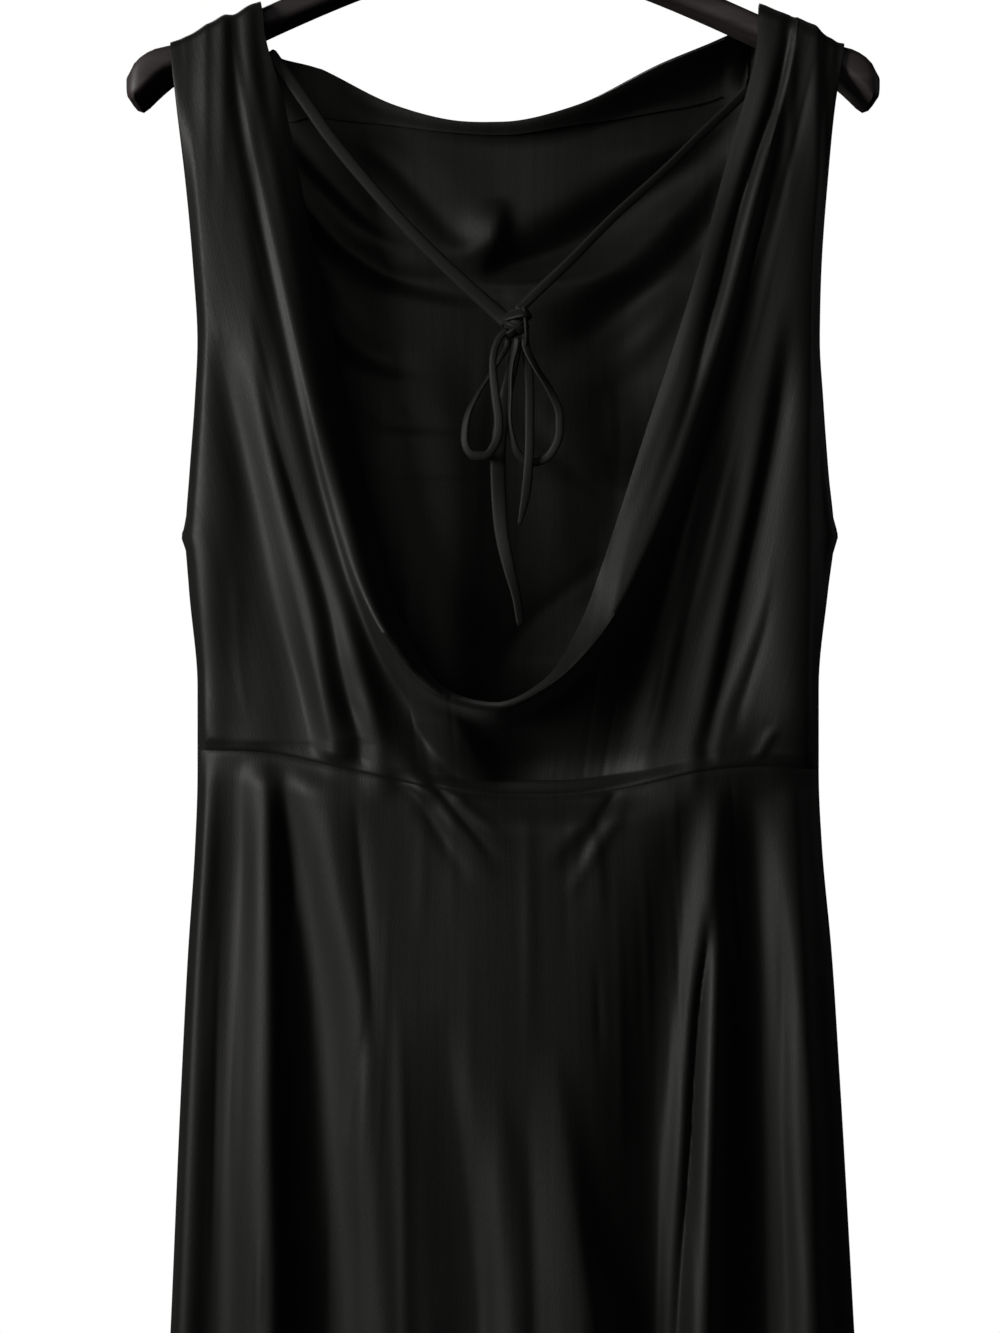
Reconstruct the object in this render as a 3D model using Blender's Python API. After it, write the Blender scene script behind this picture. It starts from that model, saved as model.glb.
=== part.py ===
"""Sleeveless maxi dress with a deep draped back, hanging on a wooden hanger.

Run it with blender --background --python part.py, or from Blender's text editor.

The origin is the top of the space inside the hanger's hook, where a rail holds it. +X runs along
the hanger, -Y is the dress's back with its drape, +Y its high front, and +Z is up. All sizes are
in millimetres, and MM turns them into metres as each mesh is made. A "drop" is a distance below
the origin. Above the hanger's edge a drop is read along the cloth, which turns over the arm there.
"""

import math

import bmesh
import bpy
import numpy as np

MM = 0.001
SEAM_GAP = 0.3
CLOTH = 1.2
TIE_DIAMETER = 4.0
WIRE_DIAMETER = 3.6

HEM_DROP = 1590.0
WAIST_DROP = 575.0
UNDERARM_DROP = 436.0
SHOULDER_DROP = 130.0
VIEW_LOW_DROP = 895.0

# The wooden arms: half of them, from the middle to the tip. Depth is front to back.
HANGER_COLUMNS = ("out", "top_drop", "height", "depth")
HANGER_SECTIONS = (
    (0, 72, 26, 24),
    (30, 79, 21, 23),
    (75, 98, 16, 25),
    (125, 120.5, 14, 26),
    (165, 139, 13.5, 32),
    (193, 151.5, 13.5, 42),
    (204, 154.5, 18.5, 43),
    (212, 159.5, 21.5, 42),
    (217, 165.5, 17, 38),
    (219.5, 171, 9, 30),
)
HANGER_ROUNDING = 5.0
SECTION_POINTS = 12
HOOK_INNER_RADIUS = 19.0
HOOK_START_TURN = -45
HOOK_END_TURN = 205
HOOK_SHANK = 32.0
HOOK_SOCKET_DEPTH = 14.0
CLOTH_TURN_RADIUS = 6.0
STRAP_DEPTH = 22.5
CLOTH_ABOVE_WOOD = 0.4

# The dress seen flat: where its sides are, and how far its walls stand from the middle plane.
# Opening is half the armhole's gap, back and front are the depths in the middle of each panel.
OUTLINE_COLUMNS = ("drop", "left", "right", "opening", "back", "front")
OUTLINE = (
    (100, -195, 199, 22.5, 22.5, 22.5),
    (150, -193, 198, 22.5, 22.5, 22.5),
    (185, -189, 192, 20.5, 24, 22),
    (230, -184, 188, 16, 27, 22),
    (280, -180, 185, 11.5, 30, 22.5),
    (320, -178, 184.5, 8, 32, 23.5),
    (357, -180, 187, 4.5, 34, 24.5),
    (436, -187, 196, 0.15, 36, 26),
    (468, -184, 191, 0.15, 37, 27),
    (525, -179, 185, 0.15, 36, 28),
    (575, -179, 185, 0.15, 31, 29),
    (620, -180.5, 187, 0.15, 31, 30),
    (680, -184.5, 192.5, 0.15, 33, 31),
    (757, -188.5, 197.5, 0.15, 36, 33),
    (906, -195, 206, 0.15, 41, 38),
    (1250, -213, 225, 0.15, 48, 46),
    (1590, -232, 243, 0.15, 54, 52),
)
ROUNDNESS = 2.3
ON_THE_SIDE = 0.9998

# The seam that joins bodice and skirt, lowest in the middle of the back.
WAIST_COLUMNS = ("x", "back_drop", "front_drop")
WAIST_SEAM = (
    (-179, 562, 562),
    (-140, 563, 566),
    (-88, 573, 573),
    (-48, 581.5, 577),
    (0, 588.5, 580),
    (30, 588.5, 580),
    (67, 584.5, 578),
    (120, 573, 575),
    (150, 571, 573.5),
    (185, 573.5, 573.5),
)

# The ridge of the drape, from the left shoulder down and up to the right shoulder: how wide the
# turned-in edge is beside it, how far that edge sinks, and how far the ridge stands out.
DRAPE_COLUMNS = ("x", "drop", "turned_in", "sink", "lift")
DRAPE = (
    (-160, 118, 16, 0, 0),
    (-156, 154, 19, 2, 2),
    (-148, 195, 22, 5, 6),
    (-129, 284, 21, 8, 11),
    (-112, 358, 20, 10, 13),
    (-93.5, 435, 19, 12, 15),
    (-70, 492, 11, 14, 18),
    (-34, 529.5, 3, 15, 21),
    (-4, 536.5, 2, 15, 22),
    (24, 525, 3, 15, 21),
    (51, 495, 9, 14, 18),
    (77, 444, 16, 12, 15),
    (107, 370, 22, 10, 13),
    (127, 309, 25, 8, 11),
    (147, 237, 25, 6, 7),
    (165, 172, 25, 3, 2),
    (174, 124, 24, 0, 0),
)
LEG_END_DROP = 466.0
LIFT_REACH = 11.0

# The high front neckline, from shoulder to shoulder, with the lower edge of its facing.
NECK_COLUMNS = ("x", "drop", "facing_drop")
NECKLINE = (
    (-149, 113, 150),
    (-148, 127, 160),
    (-143, 141, 172),
    (-108, 156, 184),
    (-64, 178, 189),
    (-32, 187, 193),
    (0, 188.5, 194.5),
    (45, 179, 188),
    (89, 158, 180),
    (131, 138, 169),
    (147.5, 127, 160),
    (150, 113, 150),
)
FACING_ENDS = (-130, 122)

# Pleats that run over both shoulders. Left and right are the reach on each side.
PLEAT_END_DROP = 250.0
PLEAT_FADE = 90.0
PLEAT_COLUMNS = ("x", "depth", "left", "right")
SHOULDER_PLEATS = (
    (-183, 1.8, 8, 6),
    (-168, 2.2, 9, 4),
    (-152, 2.6, 7, 9),
    (160, 2.4, 10, 5),
    (178, 2.6, 6, 9),
    (192, 1.4, 6, 6),
)

# Folds of the bodice: a line through three places (x, drop), how far it stands out (it sinks below
# zero) and its reach on each side. A fold rises and dies out over these parts of its length.
FOLD_RISE = 0.3
FOLD_FALL = 0.1
FOLD_LEFT_AT_END = 0.6
FOLD_COLUMNS = ("top", "middle", "low", "depth", "left", "right")
BACK_FOLDS = (
    # broad left fold, from the strap to the seam
    ((-168, 190), (-144, 375), (-110, 558), 6, 16, 11),
    # narrower left fold beside the drape's groove
    ((-138, 330), (-112, 445), (-84, 558), 4, 10, 9),
    # deep groove outside the drape on the left
    ((-132, 290), (-96, 445), (-64, 566), -8, 11, 11),
    # deep groove outside the drape on the right
    ((139, 290), (106, 430), (68, 568), -9, 12, 11),
    # right folds
    ((152, 260), (128, 459), (104, 556), 5, 11, 10),
    ((168, 340), (158, 480), (140, 562), 4, 9, 12),
)
FRONT_FOLDS = (
    # the slack of the high neckline hangs in shallow swags
    ((-118, 195), (-60, 272), (-14, 304), 4, 12, 12),
    ((128, 172), (70, 225), (8, 262), 4.5, 12, 12),
    ((126, 215), (88, 262), (40, 322), 3.5, 10, 10),
    # long folds to the waist
    ((-132, 300), (-112, 450), (-96, 560), 4.5, 12, 9),
    ((-60, 380), (-52, 480), (-48, 566), -3, 10, 10),
    ((52, 400), (56, 490), (60, 566), 3.5, 10, 10),
    ((138, 300), (126, 450), (112, 560), 4.5, 10, 12),
)
# The hollow under the drape, above the seam: its middle (x, drop), its reach each way, its depth.
HOLLOW_PLACE = (26, 561)
HOLLOW_REACH = (48, 17)
HOLLOW_DEPTH = 21

# Folds of the skirt: where each runs, the drop it starts at, its depth and its reach on each side.
# It grows to its depth over this length, and towards the hem it is deeper and wider by these parts.
SKIRT_FOLD_GROWTH = 90.0
DEPTH_AT_WAIST, DEPTH_ADDED = 0.8, 0.75
WIDTH_AT_WAIST, WIDTH_ADDED = 0.85, 0.5
SKIRT_COLUMNS = ("waist_x", "view_x", "hem_x", "start", "depth", "left", "right")
BACK_SKIRT_FOLDS = (
    (-166, -170, -190, 585, -4, 8, 9),
    (-138, -134, -150, 570, 10, 20, 6),
    (-126, -116, -116, 585, -12, 7, 13),
    (-101, -80, -76, 620, 8, 14, 14),
    (-60, -41, -36, 730, -9, 12, 14),
    (-16, -3, 0, 760, 7, 9, 8),
    (20, 27, 36, 735, 7, 9, 13),
    (76, 66, 70, 610, -12, 15, 13),
    (110, 98, 112, 600, 8, 12, 7),
    (135, 136, 148, 600, -9, 11, 12),
    (165, 168, 190, 575, 10, 9, 15),
)
FRONT_SKIRT_FOLDS = (
    (-150, -152, -176, 590, 8, 15, 10),
    (-118, -122, -136, 600, -9, 12, 10),
    (-84, -92, -96, 620, 8, 11, 14),
    (-40, -52, -54, 680, -9, 14, 11),
    (-4, -6, -8, 740, 8, 14, 14),
    (38, 36, 40, 680, -8, 12, 13),
    (78, 80, 86, 620, 9, 13, 9),
    (112, 118, 130, 600, -10, 9, 13),
    (150, 154, 176, 585, 9, 12, 14),
)
SIDE_REACH = 24.0
SEAM_REACH = 16.0

# Grid counts of the panels. The first rows below a shoulder seam are on the arm and round its edge.
WAIST_CELLS = 38
SHOULDER_FLAT = STRAP_DEPTH - CLOTH_TURN_RADIUS
SHOULDER_TURN = CLOTH_TURN_RADIUS * math.pi / 2
SHOULDER_ROWS = (0, SHOULDER_FLAT / 2, SHOULDER_FLAT, SHOULDER_FLAT + SHOULDER_TURN / 2)
BACK_LEG_CELLS = 9
BACK_ACROSS_CELLS = 11
TURNED_IN_CELLS = 3
FRONT_STRAP_CELLS = 5
FRONT_NECK_CELLS = 18
FRONT_DOWN_CELLS = 11
SKIRT_DOWN_CELLS = 12
FACING_CELLS = 16
FACING_DOWN_CELLS = 2
LEG_CROWDING = 1.7
CROWDED_PART = 0.12
SIDE_CROWDING = 0.4
HEM_CROWDING = 1.3
SINK_CURVE = 1.3

# The ties: (x, y, drop) places that each stretch runs through. The strings come from inside the
# shoulders to the knot, the loops leave it and come back, and the tails hang from it.
TIE_ROUTES = {
    "tie_string_left": (
        (-143, -22.8, 156),
        (-136, -20.5, 165),
        (-126, -18.5, 177),
        (-107, -15, 204),
        (-82, -13, 232),
        (-54, -11, 260),
        (-26, -9.5, 286),
        (-1.7, -8.5, 307.3),
    ),
    "tie_string_right": (
        (143, -20.7, 177),
        (134, -19, 186),
        (120, -17.5, 199),
        (94, -15, 224),
        (65, -12.5, 250),
        (40, -10.5, 275),
        (12.2, -8.5, 301.2),
    ),
    "tie_loop_left": (
        (3, -11.2, 320.5),
        (2.8, -11.3, 325),
        (-1, -12.2, 330),
        (-5.5, -12.8, 337),
        (-4.5, -13, 354),
        (-2.5, -13, 371),
        (-4.5, -13, 383),
        (-11, -13, 390),
        (-18.5, -12.5, 389),
        (-22.5, -12, 380),
        (-21, -11, 367),
        (-15, -9.5, 354),
        (-7.5, -7.5, 342),
        (-1, -6.6, 331),
        (2.6, -6.4, 325),
        (3, -6.4, 320.5),
    ),
    "tie_loop_right": (
        (13, -11.2, 320.5),
        (13.3, -11.4, 325),
        (19, -12.6, 338),
        (27.5, -13, 352),
        (33, -13, 367),
        (32, -13, 381),
        (25, -13, 391),
        (17, -13, 393.5),
        (9.5, -12.8, 389),
        (4.5, -12.5, 376),
        (4.2, -12.2, 352),
        (5.5, -11.6, 334),
        (7.7, -11.2, 325),
        (8, -11.2, 320.5),
    ),
    "tie_tail_left": (
        (8, -6.4, 320.5),
        (7.8, -6.3, 325),
        (6, -5.5, 335),
        (2, -5, 352),
        (-1.5, -5, 372),
        (-3, -5.5, 392),
        (-2.5, -6, 413),
        (-0.5, -6, 437),
        (3.5, -6, 455),
        (8, -6, 472),
        (10.5, -6, 489),
    ),
    "tie_tail_right": (
        (13, -6.4, 320.4),
        (13.2, -6.2, 325),
        (14.5, -5.5, 335),
        (15.5, -5, 350),
        (15.6, -5, 368),
        (15.2, -6, 390),
        (13, -6, 414),
        (9.5, -6, 430),
    ),
}
TIE_STEP = 9.0
KNOT_CENTRE = (8, -8.8, 311.5)
KNOT_SIZE = (16, 13, 17)
KNOT_BEVEL = 2.5


def column(table, columns, name):
    """One named column of a table, as an array."""
    return np.array([row[columns.index(name)] for row in table], float)


def named_rows(table, columns):
    """The rows of a table, each with its values by name."""
    return [dict(zip(columns, row)) for row in table]


def lengths_along(places):
    """The length run from the first place to each one."""
    steps = np.linalg.norm(np.diff(places, axis=0), axis=1)
    return np.concatenate([[0], np.cumsum(steps)])


def smooth_curve(keys, values, at):
    """A smooth curve through pairs of key and value, read at other keys."""
    slopes = np.gradient(values, keys)
    steps = np.diff(values)
    slopes[1:-1][steps[:-1] * steps[1:] <= 0] = 0
    at = np.clip(at, keys[0], keys[-1])
    start = np.clip(np.searchsorted(keys, at) - 1, 0, len(keys) - 2)
    step = keys[start + 1] - keys[start]
    f = (at - keys[start]) / step
    ends = (1 + 2 * f) * (1 - f) ** 2 * values[start] + f * f * (3 - 2 * f) * values[start + 1]
    turns = f * (1 - f) ** 2 * slopes[start] - f * f * (1 - f) * slopes[start + 1]
    return ends + step * turns


def ease(fraction):
    """0 below 0, 1 above 1, and a soft rise between them."""
    fraction = np.clip(fraction, 0, 1)
    return fraction * fraction * (3 - 2 * fraction)


def bump(distance, left, right):
    """A soft ridge of height 1, with its own reach on each side."""
    return np.exp(-((distance / np.where(distance < 0, left, right)) ** 2))


def outline(name, drop):
    """A column of the outline table at a drop."""
    keys = column(OUTLINE, OUTLINE_COLUMNS, "drop")
    return smooth_curve(keys, column(OUTLINE, OUTLINE_COLUMNS, name), drop)


def waist_drop(name, x):
    """The drop of the waist seam at x, on the back or on the front."""
    keys = column(WAIST_SEAM, WAIST_COLUMNS, "x")
    return smooth_curve(keys, column(WAIST_SEAM, WAIST_COLUMNS, name), x)


def wood_top(x):
    """The drop of the top of the hanger's arm at x."""
    keys = column(HANGER_SECTIONS, HANGER_COLUMNS, "out")
    return smooth_curve(keys, column(HANGER_SECTIONS, HANGER_COLUMNS, "top_drop"), np.abs(x))


def across(x, drop):
    """-1 at the left side of the dress and 1 at its right side."""
    left, right = outline("left", drop), outline("right", drop)
    return (2 * x - left - right) / (right - left)


def smooth_depth(x, drop, panel):
    """How far a panel stands from the middle plane, before its folds."""
    opening = outline("opening", drop)
    towards_side = np.abs(across(x, drop))
    inside = np.where(towards_side > ON_THE_SIDE, 0, 1 - towards_side**ROUNDNESS)
    rounding = np.maximum(inside, 0) ** (1 / ROUNDNESS)
    return opening + (outline(panel, drop) - opening) * rounding


def side_ease(x, drop):
    """0 at the side edges and 1 further in, so that folds die out at the sides."""
    inside = np.minimum(x - outline("left", drop), outline("right", drop) - x)
    return ease(inside / SIDE_REACH)


def seam_ease(x, drop, seam):
    """0 on the waist seam and 1 away from it."""
    return ease(np.abs(drop - waist_drop(seam, x)) / SEAM_REACH)


def bodice_folds(rows, x, drop):
    """The sum of a bodice's folds. Each follows a parabola through its three places."""
    total = np.zeros(np.broadcast(x, drop).shape)
    for fold in named_rows(rows, FOLD_COLUMNS):
        top_x, top = fold["top"]
        middle_x, middle = fold["middle"]
        low_x, low = fold["low"]
        weights = (
            (drop - middle) * (drop - low) / ((top - middle) * (top - low)),
            (drop - top) * (drop - low) / ((middle - top) * (middle - low)),
            (drop - top) * (drop - middle) / ((low - top) * (low - middle)),
        )
        line = weights[0] * top_x + weights[1] * middle_x + weights[2] * low_x
        length = low - top
        fade = ease((drop - top) / (FOLD_RISE * length))
        fade = fade * ease((low - drop) / (FOLD_FALL * length) + FOLD_LEFT_AT_END)
        total += fold["depth"] * fade * bump(x - line, fold["left"], fold["right"])
    return total


def skirt_folds(rows, x, drop):
    """The sum of a skirt's folds, which deepen and widen towards the hem."""
    total = np.zeros(np.broadcast(x, drop).shape)
    fall = (drop - WAIST_DROP) / (HEM_DROP - WAIST_DROP)
    places = np.array([WAIST_DROP, VIEW_LOW_DROP, HEM_DROP])
    width = WIDTH_AT_WAIST + WIDTH_ADDED * fall
    for fold in named_rows(rows, SKIRT_COLUMNS):
        line_x = np.array([fold["waist_x"], fold["view_x"], fold["hem_x"]], float)
        line = smooth_curve(places, line_x, drop)
        growth = ease((drop - fold["start"]) / SKIRT_FOLD_GROWTH)
        depth = fold["depth"] * growth * (DEPTH_AT_WAIST + DEPTH_ADDED * fall)
        total += depth * bump(x - line, fold["left"] * width, fold["right"] * width)
    return total


def shoulder_pleats(x, drop):
    """Pleats over the shoulders, the same on back and front."""
    total = np.zeros(np.broadcast(x, drop).shape)
    for pleat in named_rows(SHOULDER_PLEATS, PLEAT_COLUMNS):
        total += pleat["depth"] * bump(x - pleat["x"], pleat["left"], pleat["right"])
    return total * ease((PLEAT_END_DROP - drop) / PLEAT_FADE)


def turned_over(x, drop, depth, folds, side):
    """Points of a panel, turned over the hanger's arm where its drop is above the arm's edge."""
    edge = wood_top(x) - CLOTH_ABOVE_WOOD + CLOTH_TURN_RADIUS
    past = np.maximum(edge - drop, 0)
    angle = np.minimum(past / CLOTH_TURN_RADIUS, math.pi / 2)
    along_top = np.maximum(past - CLOTH_TURN_RADIUS * math.pi / 2, 0)
    y = depth - CLOTH_TURN_RADIUS * (1 - np.cos(angle)) - along_top + folds * np.cos(angle)
    down = np.where(past > 0, edge, drop) - (CLOTH_TURN_RADIUS + folds) * np.sin(angle)
    return np.stack([x + 0 * drop, side * y, -down], axis=-1)


def shoulder_drop(x):
    """The drop, along the cloth, of the shoulder seam on top of the arm."""
    edge = wood_top(x) - CLOTH_ABOVE_WOOD + CLOTH_TURN_RADIUS
    return edge - SHOULDER_TURN - SHOULDER_FLAT + SEAM_GAP / 2


def front_points(x, drop):
    """The inner side of the front bodice."""
    folds = bodice_folds(FRONT_FOLDS, x, drop) * side_ease(x, drop)
    folds = folds * seam_ease(x, drop, "front_drop") + shoulder_pleats(x, drop)
    return turned_over(x, drop, smooth_depth(x, drop, "front"), folds, 1)


def back_points(x, drop, from_ridge, lift):
    """The inner side of the back bodice, at a distance from the drape's ridge."""
    folds = bodice_folds(BACK_FOLDS, x, drop) * side_ease(x, drop)
    from_hollow = np.hypot(
        (x - HOLLOW_PLACE[0]) / HOLLOW_REACH[0], (drop - HOLLOW_PLACE[1]) / HOLLOW_REACH[1]
    )
    folds = folds - HOLLOW_DEPTH * bump(from_hollow, 1, 1)
    folds = folds + lift * bump(from_ridge, LIFT_REACH, LIFT_REACH)
    folds = folds * seam_ease(x, drop, "back_drop") + shoulder_pleats(x, drop)
    return turned_over(x, drop, smooth_depth(x, drop, "back"), folds, -1)


def skirt_points(x, drop, panel, rows):
    """The inner side of a skirt panel."""
    folds = skirt_folds(rows, x, drop) * side_ease(x, drop)
    folds = folds * seam_ease(x, drop, panel + "_drop")
    depth = smooth_depth(x, drop, panel) + folds
    side = -1 if panel == "back" else 1
    return np.stack([x + 0 * drop, side * depth, -drop], axis=-1)


def even_stations(low, high, count):
    """Places across a panel, closer together where it rounds off to its sides."""
    turn = np.linspace(-1, 1, count + 1)
    spread = (1 - SIDE_CROWDING) * turn + SIDE_CROWDING * np.sin(turn * math.pi / 2)
    return (low + high) / 2 + (high - low) / 2 * spread


def new_object(name, mesh, material):
    """An object of the scene with one material."""
    thing = bpy.data.objects.new(name, mesh)
    bpy.context.scene.collection.objects.link(thing)
    thing.data.materials.append(material)
    return thing


def new_material(name, colour, roughness, metallic=0.0, sheen=0.0):
    """A plain Principled material."""
    material = bpy.data.materials.new(name)
    material.use_nodes = True
    shader = material.node_tree.nodes["Principled BSDF"]
    shader.inputs["Base Color"].default_value = (*colour, 1)
    shader.inputs["Roughness"].default_value = roughness
    shader.inputs["Metallic"].default_value = metallic
    shader.inputs["Sheen Weight"].default_value = sheen
    return material


def outward(points, side, flat_edges):
    """Outward directions on a grid. A seam's edge points straight out, across the seam's plane."""
    down, along = np.gradient(points, axis=0), np.gradient(points, axis=1)
    normals = side * np.cross(along, down)
    for edge, axis in flat_edges:
        normals[(*edge, Ellipsis, axis)] = 0
    return normals / np.linalg.norm(normals, axis=-1, keepdims=True)


def cloth_wall(name, points, material, side, flat_edges=(), inset=0.0, other_way=0):
    """A closed wall of cloth. The points are its inner side, and it grows outwards from them.

    Each square of the grid is two triangles, and in the first rows they are cut the other way.
    """
    normals = outward(points, side, flat_edges)
    inner = points - inset * normals
    rows, columns = points.shape[:2]
    mesh = bmesh.new()
    layers = [
        [[mesh.verts.new(place * MM) for place in row] for row in layer]
        for layer in (inner, inner + CLOTH * normals)
    ]
    for layer, flip in ((layers[0], side < 0), (layers[1], side > 0)):
        for r in range(rows - 1):
            for c in range(columns - 1):
                a, b = layer[r][c], layer[r][c + 1]
                d, e = layer[r + 1][c], layer[r + 1][c + 1]
                halves = ((a, b, d), (b, e, d)) if r < other_way else ((a, b, e), (a, e, d))
                for corners in halves:
                    mesh.faces.new(corners[::-1] if flip else corners)
    border = [(0, c) for c in range(columns)] + [(r, columns - 1) for r in range(1, rows)]
    border += [(rows - 1, c) for c in range(columns - 2, -1, -1)]
    border += [(r, 0) for r in range(rows - 2, 0, -1)]
    for (r, c), (s, d) in zip(border, border[1:] + border[:1]):
        corners = (layers[0][r][c], layers[0][s][d], layers[1][s][d], layers[1][r][c])
        mesh.faces.new(corners)
    bmesh.ops.recalc_face_normals(mesh, faces=mesh.faces)
    data = bpy.data.meshes.new(name)
    mesh.to_mesh(data)
    mesh.free()
    data.shade_smooth()
    data.set_sharp_from_angle(angle=math.radians(60))
    return new_object(name, data, material)


def smooth_table(keys, values, at):
    """Several columns read along one smooth curve."""
    return np.stack([smooth_curve(keys, one, at) for one in values.T], axis=-1)


def drape_line(fraction):
    """A row of the drape's table, read at a fraction of the ridge's length."""
    places = np.array(DRAPE, float)
    length = lengths_along(places[:, :2])
    return smooth_table(length, places, np.asarray(fraction) * length[-1])


def of_ridge(ridge, name):
    """A named column of the ridge's rows, kept upright."""
    return ridge[:, [DRAPE_COLUMNS.index(name)]]


def drape_fraction(drop, shoulder):
    """The fraction of the ridge's length at a drop, on the leg from shoulder 0 or 1."""
    fractions = np.linspace(shoulder, 0.5, 400)
    return float(np.interp(drop, drape_line(fractions)[:, 1], fractions))


def waist_stations(seam, count):
    """Places (x, drop) along the waist seam, from side to side."""
    left, right = WAIST_SEAM[0][0], WAIST_SEAM[-1][0]
    x = even_stations(left, right, count)
    drop = waist_drop(seam, x)
    x[0], x[-1] = outline("left", drop[0]), outline("right", drop[-1])
    return x, drop


def leg_rows(shoulder, corner):
    """One leg of the back, from the shoulder seam down: (ridge, outer place, crowding)."""
    side = ("left", "right")[shoulder]
    turn = SHOULDER_FLAT + SHOULDER_TURN
    top = drape_line(float(shoulder))
    ridge_seam = shoulder_drop(top[0])
    edge_seam = shoulder_drop(outline(side, SHOULDER_DROP))
    places = [(ridge_seam + step, edge_seam + step) for step in SHOULDER_ROWS]
    for f in np.linspace(0, 1, BACK_LEG_CELLS + 1)[:-1]:
        ridge_drop = (ridge_seam + turn) * (1 - f) + LEG_END_DROP * f
        places.append((ridge_drop, (edge_seam + turn) * (1 - f) + corner * f))
    rows = []
    for ridge_drop, edge_drop in places:
        ridge = drape_line(drape_fraction(max(ridge_drop, top[1]), shoulder))
        ridge[1] = ridge_drop
        rows.append((ridge, (outline(side, edge_drop), edge_drop), LEG_CROWDING))
    return rows


def back_bodice_rows():
    """Rows round the drape from shoulder to shoulder: (ridge, outer place, crowding)."""
    first, last = drape_fraction(LEG_END_DROP, 0), drape_fraction(LEG_END_DROP, 1)
    waist_x, drops = waist_stations("back_drop", WAIST_CELLS)
    drops = drops - SEAM_GAP / 2
    rows = leg_rows(0, drops[0])
    for f, x, drop in zip(np.linspace(0, 1, WAIST_CELLS + 1), waist_x, drops):
        crowding = 1 + (LEG_CROWDING - 1) * max(0.0, 1 - min(f, 1 - f) / CROWDED_PART)
        rows.append((drape_line(first + (last - first) * f), (x, drop), crowding))
    return rows + leg_rows(1, drops[-1])[::-1]


def turned_in_places(ridge):
    """The places (x, drop) of the drape's turned-in edge, and how far each has sunk."""
    run = np.gradient(ridge[:, :2], axis=0)
    run /= np.linalg.norm(run, axis=1, keepdims=True)
    f = np.linspace(0, 1, TURNED_IN_CELLS + 1)[1:]
    x = of_ridge(ridge, "x") + run[:, 1:] * of_ridge(ridge, "turned_in") * f
    drop = of_ridge(ridge, "drop") - run[:, :1] * of_ridge(ridge, "turned_in") * f
    return x, drop, of_ridge(ridge, "sink") * f**SINK_CURVE


def make_back_bodice(material):
    """The back with its drape: rows run round the drape, columns from its outside to its edge."""
    rows = back_bodice_rows()
    ridge = np.array([row[0] for row in rows])
    outer = np.array([row[1] for row in rows])
    crowding = np.array([row[2] for row in rows])[:, None]
    f = np.linspace(0, 1, BACK_ACROSS_CELLS + 1) ** crowding
    edge_x, edge_drop, sink = turned_in_places(ridge)
    ridge_x, ridge_drop = of_ridge(ridge, "x"), of_ridge(ridge, "drop")
    x = np.concatenate([ridge_x * f + outer[:, :1] * (1 - f), edge_x], axis=1)
    drop = np.concatenate([ridge_drop * f + outer[:, 1:] * (1 - f), edge_drop], axis=1)
    for row, step in enumerate((*SHOULDER_ROWS, SHOULDER_FLAT + SHOULDER_TURN)):
        for end in (row, -1 - row):
            drop[end] = shoulder_drop(x[end]) + step
    from_ridge = np.hypot(x - ridge_x, drop - ridge_drop)
    from_ridge[:, BACK_ACROSS_CELLS:] = 0
    points = back_points(x, drop, from_ridge, of_ridge(ridge, "lift"))
    points[:, BACK_ACROSS_CELLS + 1 :, 1] += sink
    leg = len(SHOULDER_ROWS) + BACK_LEG_CELLS
    sewn = np.flatnonzero(outer[:, 1] > UNDERARM_DROP)
    waist = np.arange(leg, leg + WAIST_CELLS + 1)
    side_rows = np.setdiff1d(sewn, waist[1:-1])
    flat = [((0,), 1), ((-1,), 1), ((side_rows, 0), 1), ((waist, 0), 2)]
    return cloth_wall("back_bodice", points, material, -1, flat, other_way=len(rows) // 2)


def make_front_bodice(material):
    """The high front: rows from the shoulder seams and neckline down to the waist seam."""
    neck = np.array(NECKLINE, float)
    length = lengths_along(neck[:, :2])
    neck = smooth_table(length, neck, even_stations(0, length[-1], FRONT_NECK_CELLS))
    seam_x = [outline(side, SHOULDER_DROP) for side in ("left", "right")]
    top_x = np.concatenate([
        np.linspace(seam_x[0], neck[0, 0], FRONT_STRAP_CELLS + 1)[:-1],
        neck[:, 0],
        np.linspace(neck[-1, 0], seam_x[1], FRONT_STRAP_CELLS + 1)[1:],
    ])
    top_drop = shoulder_drop(top_x)
    inner = slice(FRONT_STRAP_CELLS + 1, -FRONT_STRAP_CELLS - 1)
    top_drop[inner] = neck[1:-1, 1]
    low_x, low_drop = waist_stations("front_drop", len(top_x) - 1)
    low_drop = low_drop - SEAM_GAP / 2
    turned = np.array(SHOULDER_ROWS)[:, None] + 0 * top_drop
    start = top_drop + SHOULDER_FLAT + SHOULDER_TURN
    f = np.linspace(0, 1, FRONT_DOWN_CELLS + 1)[:, None]
    drop = np.concatenate([top_drop + turned, start + (low_drop - start) * f])
    f = (drop - top_drop) / (low_drop - top_drop)
    where = across(top_x, top_drop) * (1 - f) + across(low_x, low_drop) * f
    where[:, 0], where[:, -1] = -1, 1
    left, right = outline("left", drop), outline("right", drop)
    points = front_points((left + right) / 2 + (right - left) / 2 * where, drop)
    flat = [((-1,), 2)]
    for edge in (0, -1):
        flat.append(((np.flatnonzero(drop[:, edge] > UNDERARM_DROP), edge), 1))
    for strap in (slice(0, FRONT_STRAP_CELLS + 1), slice(-FRONT_STRAP_CELLS - 1, None)):
        flat.append(((0, strap), 1))
    return cloth_wall("front_bodice", points, material, 1, flat)


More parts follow.
